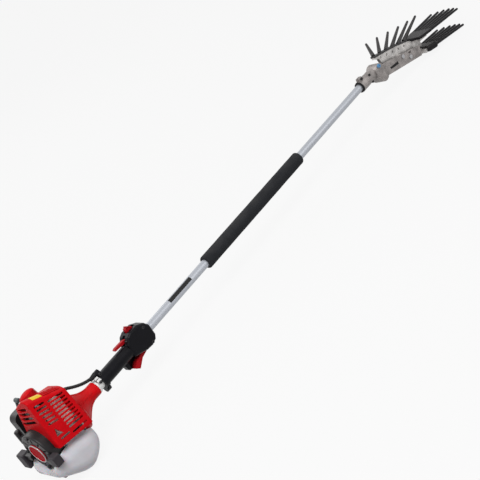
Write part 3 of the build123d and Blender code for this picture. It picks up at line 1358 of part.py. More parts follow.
def gear_case_left():
    """Left half of the gear case."""
    return gear_case() & block(HEAD_X - 5, HEAD_X + 600, 0, 60, -3 * AXIS_HEIGHT, AXIS_HEIGHT)


def gear_case_right():
    """Right half of the gear case."""
    return gear_case() & block(HEAD_X - 5, HEAD_X + 600, -60, 0, -3 * AXIS_HEIGHT, AXIS_HEIGHT)


def socket_seal():
    """Rubber ring on the tube, behind the socket."""
    return ring_x(SOCKET_R - 1, TUBE_R, HEAD_X - 4, HEAD_X)


def grease_plug():
    """Screwed grease plug with a round head."""
    head = cyl_z(GREASE_R, 0, 5) + cyl_z(GREASE_R - 3, -GREASE_DEEP, 0)
    return plug_axis() * (head - Pos(0, 0, 5) * Box(GREASE_R, 2, 3))


def pivot_pins():
    """Two hinge pins through the beam's walls."""
    half = BEAM_HALF_Y
    pins = []
    for place in (UPPER_PIVOT, LOWER_PIVOT):
        pin = head_cyl(PIVOT_R, -half, half, place)
        pins.append(pin + head_cyl(PIVOT_R + 2.5, -half - 3, -half, place))
    return group(pins)


# Head: bevel pinion and cam shaft


def bevel(teeth, radius, height, bore):
    """Bevel wheel on Z: pitch radius at z = 0, apex up, teeth cut as straight grooves."""
    apex = radius * height / (radius - radius * BEVEL_INNER)
    top = radius * BEVEL_INNER
    outline = [(bore, 0), (radius, 0), (top, height), (bore, height)]
    wheel = turned_z(outline)
    slope = math.degrees(math.atan2(radius, apex))
    width = math.pi * radius / teeth
    for index in range(teeth):
        cut = Pos(radius, 0, 0) * Rot(0, -slope, 0) * Box(2 * TOOTH_CUT, width * 0.8, 4 * height)
        wheel -= Rot(0, 0, index * 360 / teeth) * cut
    return wheel


def pinion():
    """Bevel pinion and its shaft, which takes the drive shaft's end."""
    end = CAM_X - PINION_FROM_CAM
    body = cyl_x(BEARING_BORE / 2, HEAD_X + TUBE_IN_HEAD + 2, end)
    wheel = bevel(PINION_TEETH, PINION_R - MESH_GAP, PINION_T, 0.0)
    body += Pos(end, 0, 0) * Rot(0, 90, 0) * wheel
    return body - cyl_x(SHAFT_DIA / 2, HEAD_X, HEAD_X + SHAFT_IN_HEAD)


def cam_shaft():
    """Shaft with the bevel wheel and the eccentric cam that shakes the upper arm."""
    half = CASE_HALF_Y - 2
    body = cyl_y(CAM_SHAFT_R, -half, half)
    wheel = bevel(GEAR_TEETH, GEAR_R - MESH_GAP, GEAR_T, 0.0)
    body += Pos(0, GEAR_FROM_CAM, 0) * Rot(90, 0, 0) * wheel
    body += cyl_y(GEAR_R - MESH_GAP, GEAR_FROM_CAM, GEAR_FROM_CAM + 4)
    body += cyl_y(CAM_R, CAM_Y[0], CAM_Y[1], 0, CAM_THROW)
    return Pos(CAM_X, 0, 0) * body


# Head: arms and hands


def sector(place, facing, angles):
    """Toothed sector about a pivot: teeth at the given angles from its facing direction."""
    u, w = place
    points = [(u, w)]
    for angle in angles:
        for half, radius in ((-4.4, 19.0), (-1.6, 23.4), (1.6, 23.4), (4.4, 19.0)):
            turn = math.radians(facing + angle + half)
            points.append((u + radius * math.cos(turn), w + radius * math.sin(turn)))
    return head_prism(points, -SECTOR_HALF, SECTOR_HALF)


def finger(start, end, root_r, tip_r):
    """Tapered round finger between two points, with a ball tip."""
    direction = Vector(*end) - Vector(*start)
    place = Plane(origin=start, z_dir=direction)
    cone = Cone(root_r, tip_r, direction.length, align=(Align.CENTER, Align.CENTER, Align.MIN))
    return place.location * cone + Pos(*end) * Sphere(tip_r)


def hand(root_half, front_half, thickness, back, edge):
    """Palm and fingers along X, with the palm's middle plane at z = 0."""
    outline = [(back, -root_half), (PALM_LENGTH, -front_half), (PALM_LENGTH, front_half), (back, root_half)]
    palm = extrude(make_face(Polyline(*outline, close=True)), amount=thickness / 2, both=True)
    palm = fillet(palm.edges().filter_by(Axis.Z), 10)
    palm = fillet(palm.edges().group_by(Axis.Z)[-1] + palm.edges().group_by(Axis.Z)[0], edge)
    for index in range(HAND_FINGERS):
        side = index - (HAND_FINGERS - 1) / 2
        start = (PALM_LENGTH - 8, side * HAND_PITCH, 0)
        back_off = HAND_ARC * (side**2 - 0.25) / 6
        end = (HAND_LENGTH - FINGER_TIP_R - back_off, side * HAND_TIP_PITCH, 0)
        palm += finger(start, end, FINGER_ROOT_R, FINGER_TIP_R)
    return palm


def upper_hand_place():
    """Place of the upper hand's middle plane."""
    u, w = UPPER_ROOT
    return HEAD_LOC * Pos(u, 0, w) * Rot(0, -UPPER_RISE, 0)


def lower_rise():
    """Tilt that lays the lower fingers' tips on the floor."""
    u, w = LOWER_ROOT
    x, z = in_head(u, w)
    drop = -(AXIS_HEIGHT - FINGER_TIP_R) - z
    return BEND + math.degrees(math.asin(drop / (HAND_LENGTH - FINGER_TIP_R)))


def lower_hand_place():
    """Place of the lower hand's middle plane."""
    u, w = LOWER_ROOT
    return HEAD_LOC * Pos(u, 0, w) * Rot(0, -lower_rise(), 0)


def upper_arm():
    """Upper arm: hub, toothed sector, tail under the cam, riser, fin and seat of the upper hand."""
    u, w = UPPER_PIVOT
    body = head_cyl(HUB_R, -HUB_HALF, HUB_HALF, UPPER_PIVOT)
    body += sector(UPPER_PIVOT, SECTOR_LINE, [SECTOR_STEP * k for k in (-2, -1, 0, 1, 2)])
    body += head_prism(TAIL_OUTLINE, TAIL_Y[0], TAIL_Y[1])
    body += head_prism(RISER_OUTLINE, -FIN_HALF, FIN_HALF) + head_prism(FIN_OUTLINE, -FIN_HALF, FIN_HALF)
    for hole_u in range(84, 250, 34):
        body -= head_cyl(4.0, -FIN_HALF - 1, FIN_HALF + 1, (hole_u + 17, FIN_HOLE_W))
    seat = block(-SEAT_BACK, SEAT_FRONT, -SEAT_HALF, SEAT_HALF, -UPPER_T / 2 - SEAT_T, -UPPER_T / 2)
    body += upper_hand_place() * seat
    above = block(-SEAT_BACK - 20, HAND_LENGTH, -SEAT_HALF, SEAT_HALF, -UPPER_T / 2, HAND_LENGTH)
    body -= upper_hand_place() * above
    return body - head_cyl(PIVOT_R + RUN_FIT, -HUB_HALF - 1, HUB_HALF + 1, UPPER_PIVOT)


def upper_hand():
    """Upper hand: flat palm with six long fingers, on the upper arm's seat."""
    return upper_hand_place() * hand(36.0, 48.0, UPPER_T, -SEAT_BACK, 3.0)


def lower_arm():
    """Lower arm: hub, toothed sector, bar and the flange of the lower hand."""
    body = head_cyl(HUB_R, -HUB_HALF, HUB_HALF, LOWER_PIVOT)
    angles = [SECTOR_STEP * (k + 0.5) for k in (-2, -1, 0, 1)]
    body += sector(LOWER_PIVOT, SECTOR_LINE + 180, angles)
    u, w = LOWER_PIVOT
    front = LOWER_ROOT[0] - FLANGE_BACK
    bar = [(u, w - 9), (front, LOW_BAR[0]), (front, LOW_BAR[1]), (u, w + 8)]
    body += head_prism(bar, -ARM_HALF_Y - 5, ARM_HALF_Y + 5)
    body += lower_hand_place() * block(-FLANGE_BACK - 3, 0, -LOW_FLANGE_HALF, LOW_FLANGE_HALF, -9, 5)
    return body - head_cyl(PIVOT_R + RUN_FIT, -HUB_HALF - 1, HUB_HALF + 1, LOWER_PIVOT)


def lower_hand():
    """Lower hand: thick rounded palm with six long fingers that reach the floor."""
    return lower_hand_place() * hand(40.0, 50.0, LOWER_T, 0.0, 8.0)


def comb():
    """Finger comb along the fin's ridge: the rear fingers stand up, the front ones lie forward."""
    ridge = FIN_OUTLINE[:4]
    top = [(u, w + COMB_STRIP_T) for u, w in reversed(ridge)]
    strip = head_prism(ridge + top, -COMB_HALF_Y, COMB_HALF_Y)
    for index in range(COMB_FINGERS):
        rear = 1 - index / (COMB_FINGERS - 1)
        lean = math.radians(COMB_LEAN[1] + (COMB_LEAN[0] - COMB_LEAN[1]) * rear**1.8)
        rise = math.radians(COMB_RISE[1] + (COMB_RISE[0] - COMB_RISE[1]) * rear**3)
        length = COMB_LENGTHS[1] + (COMB_LENGTHS[0] - COMB_LENGTHS[1]) * rear
        start = (COMB_FIRST + index * COMB_STEP, 0.0, ridge[1][1] + COMB_STRIP_T / 2)
        step = (math.cos(lean) * math.cos(rise), math.sin(lean), math.cos(lean) * math.sin(rise))
        end = tuple(origin + length * part for origin, part in zip(start, step))
        strip += HEAD_LOC * finger(start, end, COMB_ROOT_R, COMB_TIP_R)
    under = ridge + [(ridge[-1][0] + 60, 0.0), (ridge[0][0] - 20, 0.0)]
    return strip - head_prism(under, -SEAT_HALF, SEAT_HALF)


PIECES = (
    fuel_tank, tank_feet, fuel_cap, crankcase_front, crankcase_rear, ball_bearings, crankshaft, connecting_rod,
    piston, cylinder, spark_plug, plug_boot, ignition_coil, fan_case, flywheel, clutch_shoes, clutch_drum,
    engine_cover, plug_dome, muffler, insulator, carburettor, primer_bulb, choke_lever, air_cleaner_base,
    air_filter, air_cleaner_cover, starter_case, starter_badge, recoil_spring, starter_pulley, starter_rope,
    starter_handle, guard_feet, case_screws, tube_collar, clamp_screws, tube, drive_shaft, shaft_bushes,
    foam_grip, handle_left, handle_right, handle_pins, throttle_trigger, lockout_lever, stop_switch,
    throttle_conduit, gear_case_left, gear_case_right, socket_seal, grease_plug, pivot_pins, pinion, cam_shaft,
    upper_arm, comb, upper_hand, lower_arm, lower_hand,
)


def save(piece):
    """Writes one piece at its place above the floor."""
    export_step(Pos(0, 0, AXIS_HEIGHT) * piece(), f"parts/{piece.__name__}.step")


if __name__ == "__main__":
    os.makedirs("parts", exist_ok=True)
    for piece in PIECES:
        save(piece)
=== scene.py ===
"""Dresses the coffee harvester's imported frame: finishes, soft pieces, trim, studio and camera."""

import logging
import math
from contextlib import contextmanager
from dataclasses import dataclass
from enum import Enum
from typing import Any, Dict, Iterator, List, Optional, Sequence, Tuple, Union

import bpy
from mathutils import Matrix, Vector


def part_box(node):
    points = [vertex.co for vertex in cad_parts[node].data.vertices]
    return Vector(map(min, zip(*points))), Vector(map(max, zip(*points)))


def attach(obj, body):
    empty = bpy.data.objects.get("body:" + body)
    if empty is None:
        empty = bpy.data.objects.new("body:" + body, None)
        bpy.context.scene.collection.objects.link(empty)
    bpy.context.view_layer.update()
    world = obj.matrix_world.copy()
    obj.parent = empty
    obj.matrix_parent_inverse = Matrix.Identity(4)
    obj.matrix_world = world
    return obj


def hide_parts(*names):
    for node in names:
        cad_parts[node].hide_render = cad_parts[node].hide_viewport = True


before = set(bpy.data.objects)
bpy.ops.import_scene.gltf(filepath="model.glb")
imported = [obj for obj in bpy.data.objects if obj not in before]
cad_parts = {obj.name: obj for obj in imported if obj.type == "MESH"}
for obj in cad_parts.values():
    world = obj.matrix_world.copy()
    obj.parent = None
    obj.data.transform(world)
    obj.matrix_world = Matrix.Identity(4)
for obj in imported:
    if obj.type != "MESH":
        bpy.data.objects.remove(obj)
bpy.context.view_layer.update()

LOG = logging.getLogger("harvester")
Point = Tuple[float, float, float]
Colour = Tuple[float, float, float]
Pair = Tuple[float, float]
Value = Union[float, "Socket"]

# Lengths are in metres and angles in degrees, unless a line says otherwise.
AXIS_HEIGHT = 0.123  # the tube's axis above the floor
HEAD_START = 1.618  # where the head's line leaves that axis
HEAD_BEND = 16.0  # angle between the two lines
MERGE_DISTANCE = 1e-6  # points nearer than this become one
SMOOTH_ANGLE = 35.0  # edges flatter than this look rounded
HOSE_SMOOTH_ANGLE = 50.0
NOISE_ROUGHNESS = 0.55
BAND_DISTORTION = 1.5
RAY_SAMPLES = 6
MIX_FACTOR, MIX_FIRST, MIX_SECOND, MIX_RESULT = 0, 6, 7, 2  # a colour Mix node's sockets
WHITE: Colour = (1.0, 1.0, 1.0)


class Grain(Enum):
    """Kinds of fine surface relief."""

    PAINT = "paint"
    MOULDED = "moulded"
    CAST = "cast"
    BRUSHED = "brushed"
    FOAM = "foam"
    RUBBER = "rubber"
    BRAID = "braid"


class Texture(Enum):
    """What one layer of a relief is made of."""

    NOISE = "noise"
    STREAKS = "streaks"
    CELLS = "cells"
    BANDS = "bands"


class Socket:
    """A shader output that takes part in Python expressions."""

    def __init__(self, nodes: "Nodes", link: bpy.types.NodeSocket) -> None:
        """Keeps the tree and the output."""
        self.nodes = nodes
        self.link = link

    def _math(self, operation: str, first: Value, second: Value) -> "Socket":
        """Adds a Math node.

        Args:
            operation: Blender's name of the operation.
            first: left side.
            second: right side.

        Returns:
            The node's value.
        """
        settings = {"operation": operation}
        return self.nodes.add("ShaderNodeMath", "Value", settings, {0: first, 1: second})

    def __add__(self, other: Value) -> "Socket":
        """Sum."""
        return self._math("ADD", self, other)

    def __radd__(self, other: Value) -> "Socket":
        """Sum with a number on the left."""
        return self._math("ADD", other, self)

    def __sub__(self, other: Value) -> "Socket":
        """Difference."""
        return self._math("SUBTRACT", self, other)

    def __rsub__(self, other: Value) -> "Socket":
        """Difference from a number."""
        return self._math("SUBTRACT", other, self)

    def __mul__(self, other: Value) -> "Socket":
        """Product."""
        return self._math("MULTIPLY", self, other)

    def __rmul__(self, other: Value) -> "Socket":
        """Product with a number on the left."""
        return self._math("MULTIPLY", other, self)

    def above(self, low: float, high: float) -> "Socket":
        """Ramp from 0 at low to 1 at high.

        Args:
            low: value that gives 0.
            high: value that gives 1.

        Returns:
            The ramp's value, held between 0 and 1.
        """
        inputs = {"Value": self, "From Min": low, "From Max": high}
        return self.nodes.add("ShaderNodeMapRange", "Result", {"clamp": True}, inputs)


class Nodes:
    """A node tree that is built by expressions."""

    def __init__(self, tree: bpy.types.NodeTree) -> None:
        """Keeps the node tree of a material or a world."""
        self.tree = tree

    def add(self, kind: str, output: Union[str, int], settings: Dict, inputs: Dict) -> Socket:
        """Adds one node.

        Args:
            kind: the node's type.
            output: the output that is wanted, by name or place.
            settings: attributes, set first.
            inputs: values or links of its inputs, by name or place.

        Returns:
            The wanted output.
        """
        node = self.tree.nodes.new(kind)
        for key, value in settings.items():
            setattr(node, key, value)
        for key, value in inputs.items():
            self.feed(node.inputs[key], value)
        return Socket(self, node.outputs[output])

    def feed(self, socket: bpy.types.NodeSocket, value: Union[Value, Sequence[float]]) -> None:
        """Links or sets one input.

        Args:
            socket: the input.
            value: a link, a number, or a vector or colour.
        """
        if isinstance(value, Socket):
            self.tree.links.new(value.link, socket)
        elif isinstance(value, (int, float)):
            socket.default_value = value
        elif socket.type == "RGBA":
            socket.default_value = (*value, 1.0)
        else:
            socket.default_value = tuple(value)

    def show(self, output: str, shader: Socket) -> None:
        """Links a shader to the tree's output node.

        Args:
            output: the output node's type.
            shader: what it shows.
        """
        node = next(node for node in self.tree.nodes if node.type == output)
        self.feed(node.inputs["Surface"], shader)

    def background(self) -> Socket:
        """Mask of the rays that show the white background: the camera's, gloss and glass.

        Returns:
            1 for those rays, 0 for the light that falls on the object.
        """
        seen = self.add("ShaderNodeLightPath", "Is Camera Ray", {}, {})
        glossy = Socket(self, seen.link.node.outputs["Is Glossy Ray"])
        clear = Socket(self, seen.link.node.outputs["Is Transmission Ray"])
        return (seen + glossy + clear).above(0.0, 1.0)


class Shader(Nodes):
    """One material's node tree."""

    def __init__(self, name: str) -> None:
        """Makes the material.

        Args:
            name: the material's name.
        """
        self.material = bpy.data.materials.new(name)
        self.material.use_nodes = True
        super().__init__(self.material.node_tree)
        self.surface = next(node for node in self.tree.nodes if node.type == "BSDF_PRINCIPLED")
        self.coords = self.add("ShaderNodeTexCoord", "Object", {}, {})

    def stretched(self, stretch: Point) -> Socket:
        """Object coordinates, scaled along each axis."""
        inputs = {"Vector": self.coords, "Scale": stretch}
        return self.add("ShaderNodeMapping", "Vector", {"vector_type": "POINT"}, inputs)

    def noise(self, scale: float, detail: float, stretch: Optional[Point] = None) -> Socket:
        """Noise on the object's coordinates.

        Args:
            scale: cycles per metre.
            detail: octaves.
            stretch: scale along each axis.

        Returns:
            A value about 0.5.
        """
        place = self.coords if stretch is None else self.stretched(stretch)
        inputs = {"Vector": place, "Scale": scale, "Detail": detail, "Roughness": NOISE_ROUGHNESS}
        return self.add("ShaderNodeTexNoise", 0, {}, inputs)

    def cells(self, scale: float) -> Socket:
        """Distance to the middle of Voronoi cells on the object's coordinates."""
        inputs = {"Vector": self.coords, "Scale": scale}
        return self.add("ShaderNodeTexVoronoi", "Distance", {}, inputs)

    def bands(self, scale: float) -> Socket:
        """Slanting bands on the object's coordinates.

        Args:
            scale: bands per metre, about.

        Returns:
            A value from 0 to 1.
        """
        settings = {"wave_type": "BANDS", "bands_direction": "DIAGONAL"}
        inputs = {"Vector": self.coords, "Scale": scale, "Distortion": BAND_DISTORTION}
        return self.add("ShaderNodeTexWave", "Fac", settings, inputs)

    def mix(self, factor: Value, first: Union[Colour, Socket],
            second: Union[Colour, Socket]) -> Socket:
        """Mixes two colours.

        Args:
            factor: 0 gives the first, 1 the second.
            first: a colour or link.
            second: a colour or link.

        Returns:
            The mixed colour.
        """
        settings = {"data_type": "RGBA", "clamp_factor": True}
        inputs = {MIX_FACTOR: factor, MIX_FIRST: first, MIX_SECOND: second}
        return self.add("ShaderNodeMix", MIX_RESULT, settings, inputs)

    def rounded(self, radius: float) -> Socket:
        """Normal with softly rounded edges."""
        return self.add("ShaderNodeBevel", "Normal", {"samples": RAY_SAMPLES}, {"Radius": radius})

    def edges(self, rounded: Socket) -> Socket:
        """Mask that rises at edges.

        Args:
            rounded: the softly rounded normal.

        Returns:
            0 on faces, more towards edges.
        """
        normal = self.add("ShaderNodeNewGeometry", "Normal", {}, {})
        settings = {"operation": "DOT_PRODUCT"}
        return 1 - self.add("ShaderNodeVectorMath", "Value", settings, {0: rounded, 1: normal})

    def hollows(self, reach: float) -> Socket:
        """Mask that rises in corners and hollows, from ambient occlusion; it places painted shade.

        Args:
            reach: how far away a wall still counts.

        Returns:
            0 in the open, towards 1 in a hollow.
        """
        settings = {"samples": RAY_SAMPLES}
        return 1 - self.add("ShaderNodeAmbientOcclusion", "AO", settings, {"Distance": reach})

    def upward(self) -> Socket:
        """How far the surface looks up, from -1 to 1."""
        normal = self.add("ShaderNodeNewGeometry", "Normal", {}, {})
        return self.add("ShaderNodeSeparateXYZ", "Z", {}, {"Vector": normal})


def shade(colour: Colour, factor: float) -> Colour:
    """Lighter or darker colour.

    Args:
        colour: the colour.
        factor: over 1 is lighter.

    Returns:
        The new colour, with no part over 1.
    """
    return tuple(min(1.0, part * factor) for part in colour)


@dataclass(frozen=True)
class Layer:
    """One layer of a fine relief: its share of the height, cycles per metre and octaves."""

    texture: Texture
    share: float
    scale: float
    detail: float = 0.0

    def height(self, shader: Shader, stretch: Point) -> Socket:
        """The layer's part of the height.

        Args:
            shader: the material's tree.
            stretch: scale of streaks along each axis.

        Returns:
            The texture's value times the layer's share.
        """
        if self.texture is Texture.CELLS:
            return shader.cells(self.scale) * self.share
        if self.texture is Texture.BANDS:
            return shader.bands(self.scale) * self.share
        along = stretch if self.texture is Texture.STREAKS else None
        return shader.noise(self.scale, self.detail, along) * self.share


RELIEFS: Dict[Grain, Tuple[Layer, ...]] = {
    Grain.PAINT: (Layer(Texture.NOISE, 0.7, 420.0, 2.0), Layer(Texture.NOISE, 0.3, 60.0, 1.0)),
    Grain.MOULDED: (Layer(Texture.NOISE, 0.6, 1500.0, 3.0), Layer(Texture.CELLS, 0.4, 900.0)),
    Grain.CAST: (Layer(Texture.NOISE, 0.6, 700.0, 5.0), Layer(Texture.CELLS, 0.25, 380.0),
                 Layer(Texture.NOISE, 0.15, 90.0, 2.0)),
    Grain.BRUSHED: (Layer(Texture.STREAKS, 0.8, 160.0, 4.0),
                    Layer(Texture.NOISE, 0.2, 900.0, 2.0)),
    Grain.FOAM: (Layer(Texture.CELLS, 0.6, 620.0), Layer(Texture.NOISE, 0.3, 1300.0, 2.0),
                 Layer(Texture.NOISE, 0.1, 45.0, 2.0)),
    Grain.RUBBER: (Layer(Texture.NOISE, 0.7, 800.0, 4.0), Layer(Texture.NOISE, 0.3, 120.0, 2.0)),
    Grain.BRAID: (Layer(Texture.BANDS, 1.0, 260.0),),
}


@dataclass(frozen=True)
class Weathering:
    """What all finishes share: noise scales and octaves, ramps from low to high, and shades."""

    patch_scale: float = 38.0
    patch_detail: float = 4.0
    patch_ramp: Pair = (0.3, 0.7)
    speck_scale: float = 260.0
    speck_detail: float = 3.0
    speck_ramp: Pair = (0.55, 0.8)
    speck_shade: float = 0.55
    edge_ramp: Pair = (0.015, 0.16)
    # edges lighten as wear and as a painted highlight
    worn_highlight_ramp: Pair = (0.25, 0.75)
    worn_highlight_lift: float = 1.6
    scratch_scale: float = 90.0
    scratch_detail: float = 2.0
    scratch_stretch: Point = (0.08, 1.0, 2.5)
    scratch_ramp: Pair = (0.66, 0.72)
    scratch_shade: float = 1.7
    # painted shade: ambient occlusion darkens the colour in hollows and corners
    painted_shade_reach: float = 0.006
    painted_shade_ramp: Pair = (0.25, 0.95)
    painted_shade_factor: float = 0.25
    dust_scale: float = 22.0
    dust_detail: float = 5.0
    dust_ramp: Pair = (0.35, 0.8)
    dust_slope_ramp: Pair = (0.3, 1.0)
    dust_colour: Colour = (0.55, 0.52, 0.48)
    rough_base: float = 0.8
    rough_patches: float = 0.3
    rough_specks: float = 0.06
    rough_dust: float = 0.4
    rough_worn_highlight: float = 0.08
    bump_height: float = 0.0004
    coat_roughness: float = 0.06
    subsurface_reach: float = 0.01


WEAR = Weathering()


@dataclass(frozen=True)
class Finish:
    """A surface finish with colour variation, worn edges with a painted highlight, painted shade in
    hollows, dust and fine relief.
    """

    name: str
    colour: Colour
    roughness: float
    grain: Grain
    metallic: float = 0.0
    coat: float = 0.0
    specular: float = 0.5
    edge_radius: float = 0.0006
    # edge colour: wear and a painted edge highlight
    worn_lit_edge_colour: Optional[Colour] = None
    edge_wear_and_highlight: float = 0.5
    mottle: float = 0.12
    dust: float = 0.05
    relief: float = 0.25
    subsurface: float = 0.0
    scratches: float = 0.0
    # how strongly painted shade darkens the hollows
    painted_hollow_shade: float = 0.0
    stretch: Point = (1.0, 1.0, 1.0)

    def height(self, shader: Shader) -> Socket:
        """Fine relief of the surface.

        Args:
            shader: the material's tree.

        Returns:
            The height, about 0 to 1.
        """
        first, *others = (layer.height(shader, self.stretch) for layer in RELIEFS[self.grain])
        return sum(others, first)

    def tinted(self, shader: Shader, patches: Socket, specks: Socket) -> Socket:
        """Colour with its lighter and darker patches and its specks.

        Args:
            shader: the material's tree.
            patches: broad noise.
            specks: fine noise.

        Returns:
            The colour.
        """
        dark, light = shade(self.colour, 1 - self.mottle), shade(self.colour, 1 + self.mottle)
        colour = shader.mix(patches.above(*WEAR.patch_ramp), dark, light)
        speckled = specks.above(*WEAR.speck_ramp) * self.mottle
        return shader.mix(speckled, colour, shade(self.colour, WEAR.speck_shade))

    def marked(self, shader: Shader, colour: Socket) -> Socket:
        """Colour with scratches, and with painted shade darkening the hollows.

        Args:
            shader: the material's tree.
            colour: the colour without them.

        Returns:
            The colour.
        """
        if self.scratches:
            lines = shader.noise(WEAR.scratch_scale, WEAR.scratch_detail, WEAR.scratch_stretch)
            share = lines.above(*WEAR.scratch_ramp) * self.scratches
            colour = shader.mix(share, colour, shade(self.colour, WEAR.scratch_shade))
        # Painted shade: the colour darkens where ambient occlusion finds near walls.
        if self.painted_hollow_shade:
            share = shader.hollows(WEAR.painted_shade_reach).above(*WEAR.painted_shade_ramp) * self.painted_hollow_shade
            colour = shader.mix(share, colour, shade(self.colour, WEAR.painted_shade_factor))
        return colour

    def make(self) -> bpy.types.Material:
        """Builds the material.

        Returns:
            The material.
        """
        shader = Shader(self.name)
        patches = shader.noise(WEAR.patch_scale, WEAR.patch_detail, self.stretch)
        specks = shader.noise(WEAR.speck_scale, WEAR.speck_detail)
        rounded = shader.rounded(self.edge_radius)
        # Edges lighten partly as wear and partly as a painted highlight.
        rubbed_and_lit = shader.edges(rounded).above(*WEAR.edge_ramp)
        worn_highlit = rubbed_and_lit * patches.above(*WEAR.worn_highlight_ramp) * self.edge_wear_and_highlight
        flat = shader.upward().above(*WEAR.dust_slope_ramp)
        drifts = shader.noise(WEAR.dust_scale, WEAR.dust_detail).above(*WEAR.dust_ramp)
        settled = flat * drifts * self.dust
        colour = self.tinted(shader, patches, specks)
        colour = shader.mix(worn_highlit, colour, self.worn_lit_edge_colour or shade(self.colour, WEAR.worn_highlight_lift))
        colour = shader.mix(settled, self.marked(shader, colour), WEAR.dust_colour)
        rough = (self.roughness * WEAR.rough_base + patches * (self.roughness * WEAR.rough_patches)
                 + specks * WEAR.rough_specks + settled * WEAR.rough_dust + worn_highlit * WEAR.rough_worn_highlight)
        bump = {"Height": self.height(shader), "Strength": self.relief,
                "Distance": WEAR.bump_height, "Normal": rounded}
        sockets = {
            "Base Color": colour,
            "Roughness": rough,
            "Normal": shader.add("ShaderNodeBump", "Normal", {}, bump),
            "Metallic": self.metallic,
            "Specular IOR Level": self.specular,
            "Coat Weight": self.coat,
            "Coat Roughness": WEAR.coat_roughness,
            "Subsurface Weight": self.subsurface,
            "Subsurface Scale": WEAR.subsurface_reach,
        }
        for key, value in sockets.items():
            shader.feed(shader.surface.inputs[key], value)
        return shader.material


# In the finishes below, the edge colour stands for wear and a painted highlight.
# In the finishes below, the hollow setting darkens hollows as painted shade.
RED_PLASTIC = Finish(
    "red_cover_plastic", (0.56, 0.004, 0.008), 0.34, Grain.PAINT, specular=0.03, relief=0.06,
    mottle=0.05, worn_lit_edge_colour=(0.66, 0.06, 0.07), edge_wear_and_highlight=0.35, painted_hollow_shade=0.55)
RED_CAST = Finish(
    "red_painted_casting", (0.56, 0.003, 0.006), 0.28, Grain.PAINT, coat=0.03, specular=0.06,
    relief=0.12, mottle=0.06, worn_lit_edge_colour=(0.64, 0.07, 0.08), edge_wear_and_highlight=0.4, painted_hollow_shade=0.45)
RED_CONTROL = Finish(
    "red_control_plastic", (0.38, 0.005, 0.010), 0.36, Grain.MOULDED, specular=0.08, relief=0.12,
    mottle=0.08, painted_hollow_shade=0.4)
BADGE_RED = Finish(
    "badge_red", (0.44, 0.003, 0.010), 0.34, Grain.PAINT, specular=0.015, relief=0.05,
    mottle=0.06, dust=0.02)
BLACK_PLASTIC = Finish(
    "black_moulded_plastic", (0.010, 0.009, 0.010), 0.34, Grain.MOULDED, specular=0.25,
    relief=0.20, mottle=0.2, worn_lit_edge_colour=(0.07, 0.065, 0.07), edge_wear_and_highlight=0.5, dust=0.03, painted_hollow_shade=0.4)
HANDLE_BLACK = Finish(
    "handle_black_plastic", (0.004, 0.004, 0.006), 0.30, Grain.MOULDED, specular=0.11,
    relief=0.12, mottle=0.2, worn_lit_edge_colour=(0.035, 0.035, 0.04), edge_wear_and_highlight=0.35, dust=0.015,
    painted_hollow_shade=0.3)
DARK_GREY = Finish(
    "dark_grey_guard_plastic", (0.030, 0.026, 0.031), 0.5, Grain.MOULDED, specular=0.2,
    relief=0.3, mottle=0.2, worn_lit_edge_colour=(0.09, 0.085, 0.09), edge_wear_and_highlight=0.4, painted_hollow_shade=0.3)
KNOB_GREY = Finish(
    "grey_knob_plastic", (0.055, 0.070, 0.075), 0.42, Grain.MOULDED, specular=0.3, relief=0.2)
TANK_WHITE = Finish(
    "translucent_tank_plastic", (0.60, 0.585, 0.625), 0.40, Grain.MOULDED, specular=0.25,
    relief=0.08, mottle=0.04, worn_lit_edge_colour=(0.68, 0.67, 0.70), edge_wear_and_highlight=0.2, dust=0.03,
    subsurface=0.25, painted_hollow_shade=0.35)
CAST_GREY = Finish(
    "cast_gear_case", (0.30, 0.275, 0.265), 0.46, Grain.CAST, metallic=0.45, relief=0.6,
    mottle=0.38, worn_lit_edge_colour=(0.55, 0.54, 0.53), edge_wear_and_highlight=0.6, scratches=0.25, painted_hollow_shade=0.6)
ENGINE_CAST = Finish(
    "cast_engine_alloy", (0.34, 0.33, 0.32), 0.48, Grain.CAST, metallic=0.65, relief=0.4,
    mottle=0.2, painted_hollow_shade=0.5)
PLATE_ALLOY = Finish(
    "arm_alloy", (0.54, 0.52, 0.505), 0.34, Grain.CAST, metallic=0.55, relief=0.6, mottle=0.45,
    worn_lit_edge_colour=(0.75, 0.74, 0.73), edge_wear_and_highlight=0.7, scratches=0.4, painted_hollow_shade=0.55)
TUBE_ALLOY = Finish(
    "drawn_tube_alloy", (0.44, 0.46, 0.50), 0.30, Grain.BRUSHED, metallic=0.5, specular=0.3,
    relief=0.02, mottle=0.01, stretch=(0.02, 1.0, 1.0), edge_wear_and_highlight=0.15, dust=0.01, scratches=0.08)
COLLAR_ALLOY = Finish(
    "collar_alloy", (0.70, 0.70, 0.69), 0.32, Grain.BRUSHED, metallic=0.5, relief=0.10,
    mottle=0.06, stretch=(1.0, 0.1, 0.1), painted_hollow_shade=0.6)
STEEL = Finish(
    "machined_steel", (0.42, 0.42, 0.43), 0.32, Grain.BRUSHED, metallic=0.9, relief=0.12,
    painted_hollow_shade=0.4)
DARK_STEEL = Finish(
    "blackened_steel", (0.030, 0.030, 0.032), 0.42, Grain.BRUSHED, metallic=0.5, specular=0.3,
    relief=0.15)
SHEET_STEEL = Finish(
    "tinted_sheet_steel", (0.80, 0.62, 0.58), 0.45, Grain.BRUSHED, metallic=0.3, relief=0.2,
    mottle=0.3, scratches=0.2, painted_hollow_shade=0.4)
FINGER_BLACK = Finish(
    "finger_plastic", (0.010, 0.0095, 0.011), 0.44, Grain.MOULDED, specular=0.15, relief=0.2,
    mottle=0.25, worn_lit_edge_colour=(0.06, 0.06, 0.065), edge_wear_and_highlight=0.4, painted_hollow_shade=0.3)
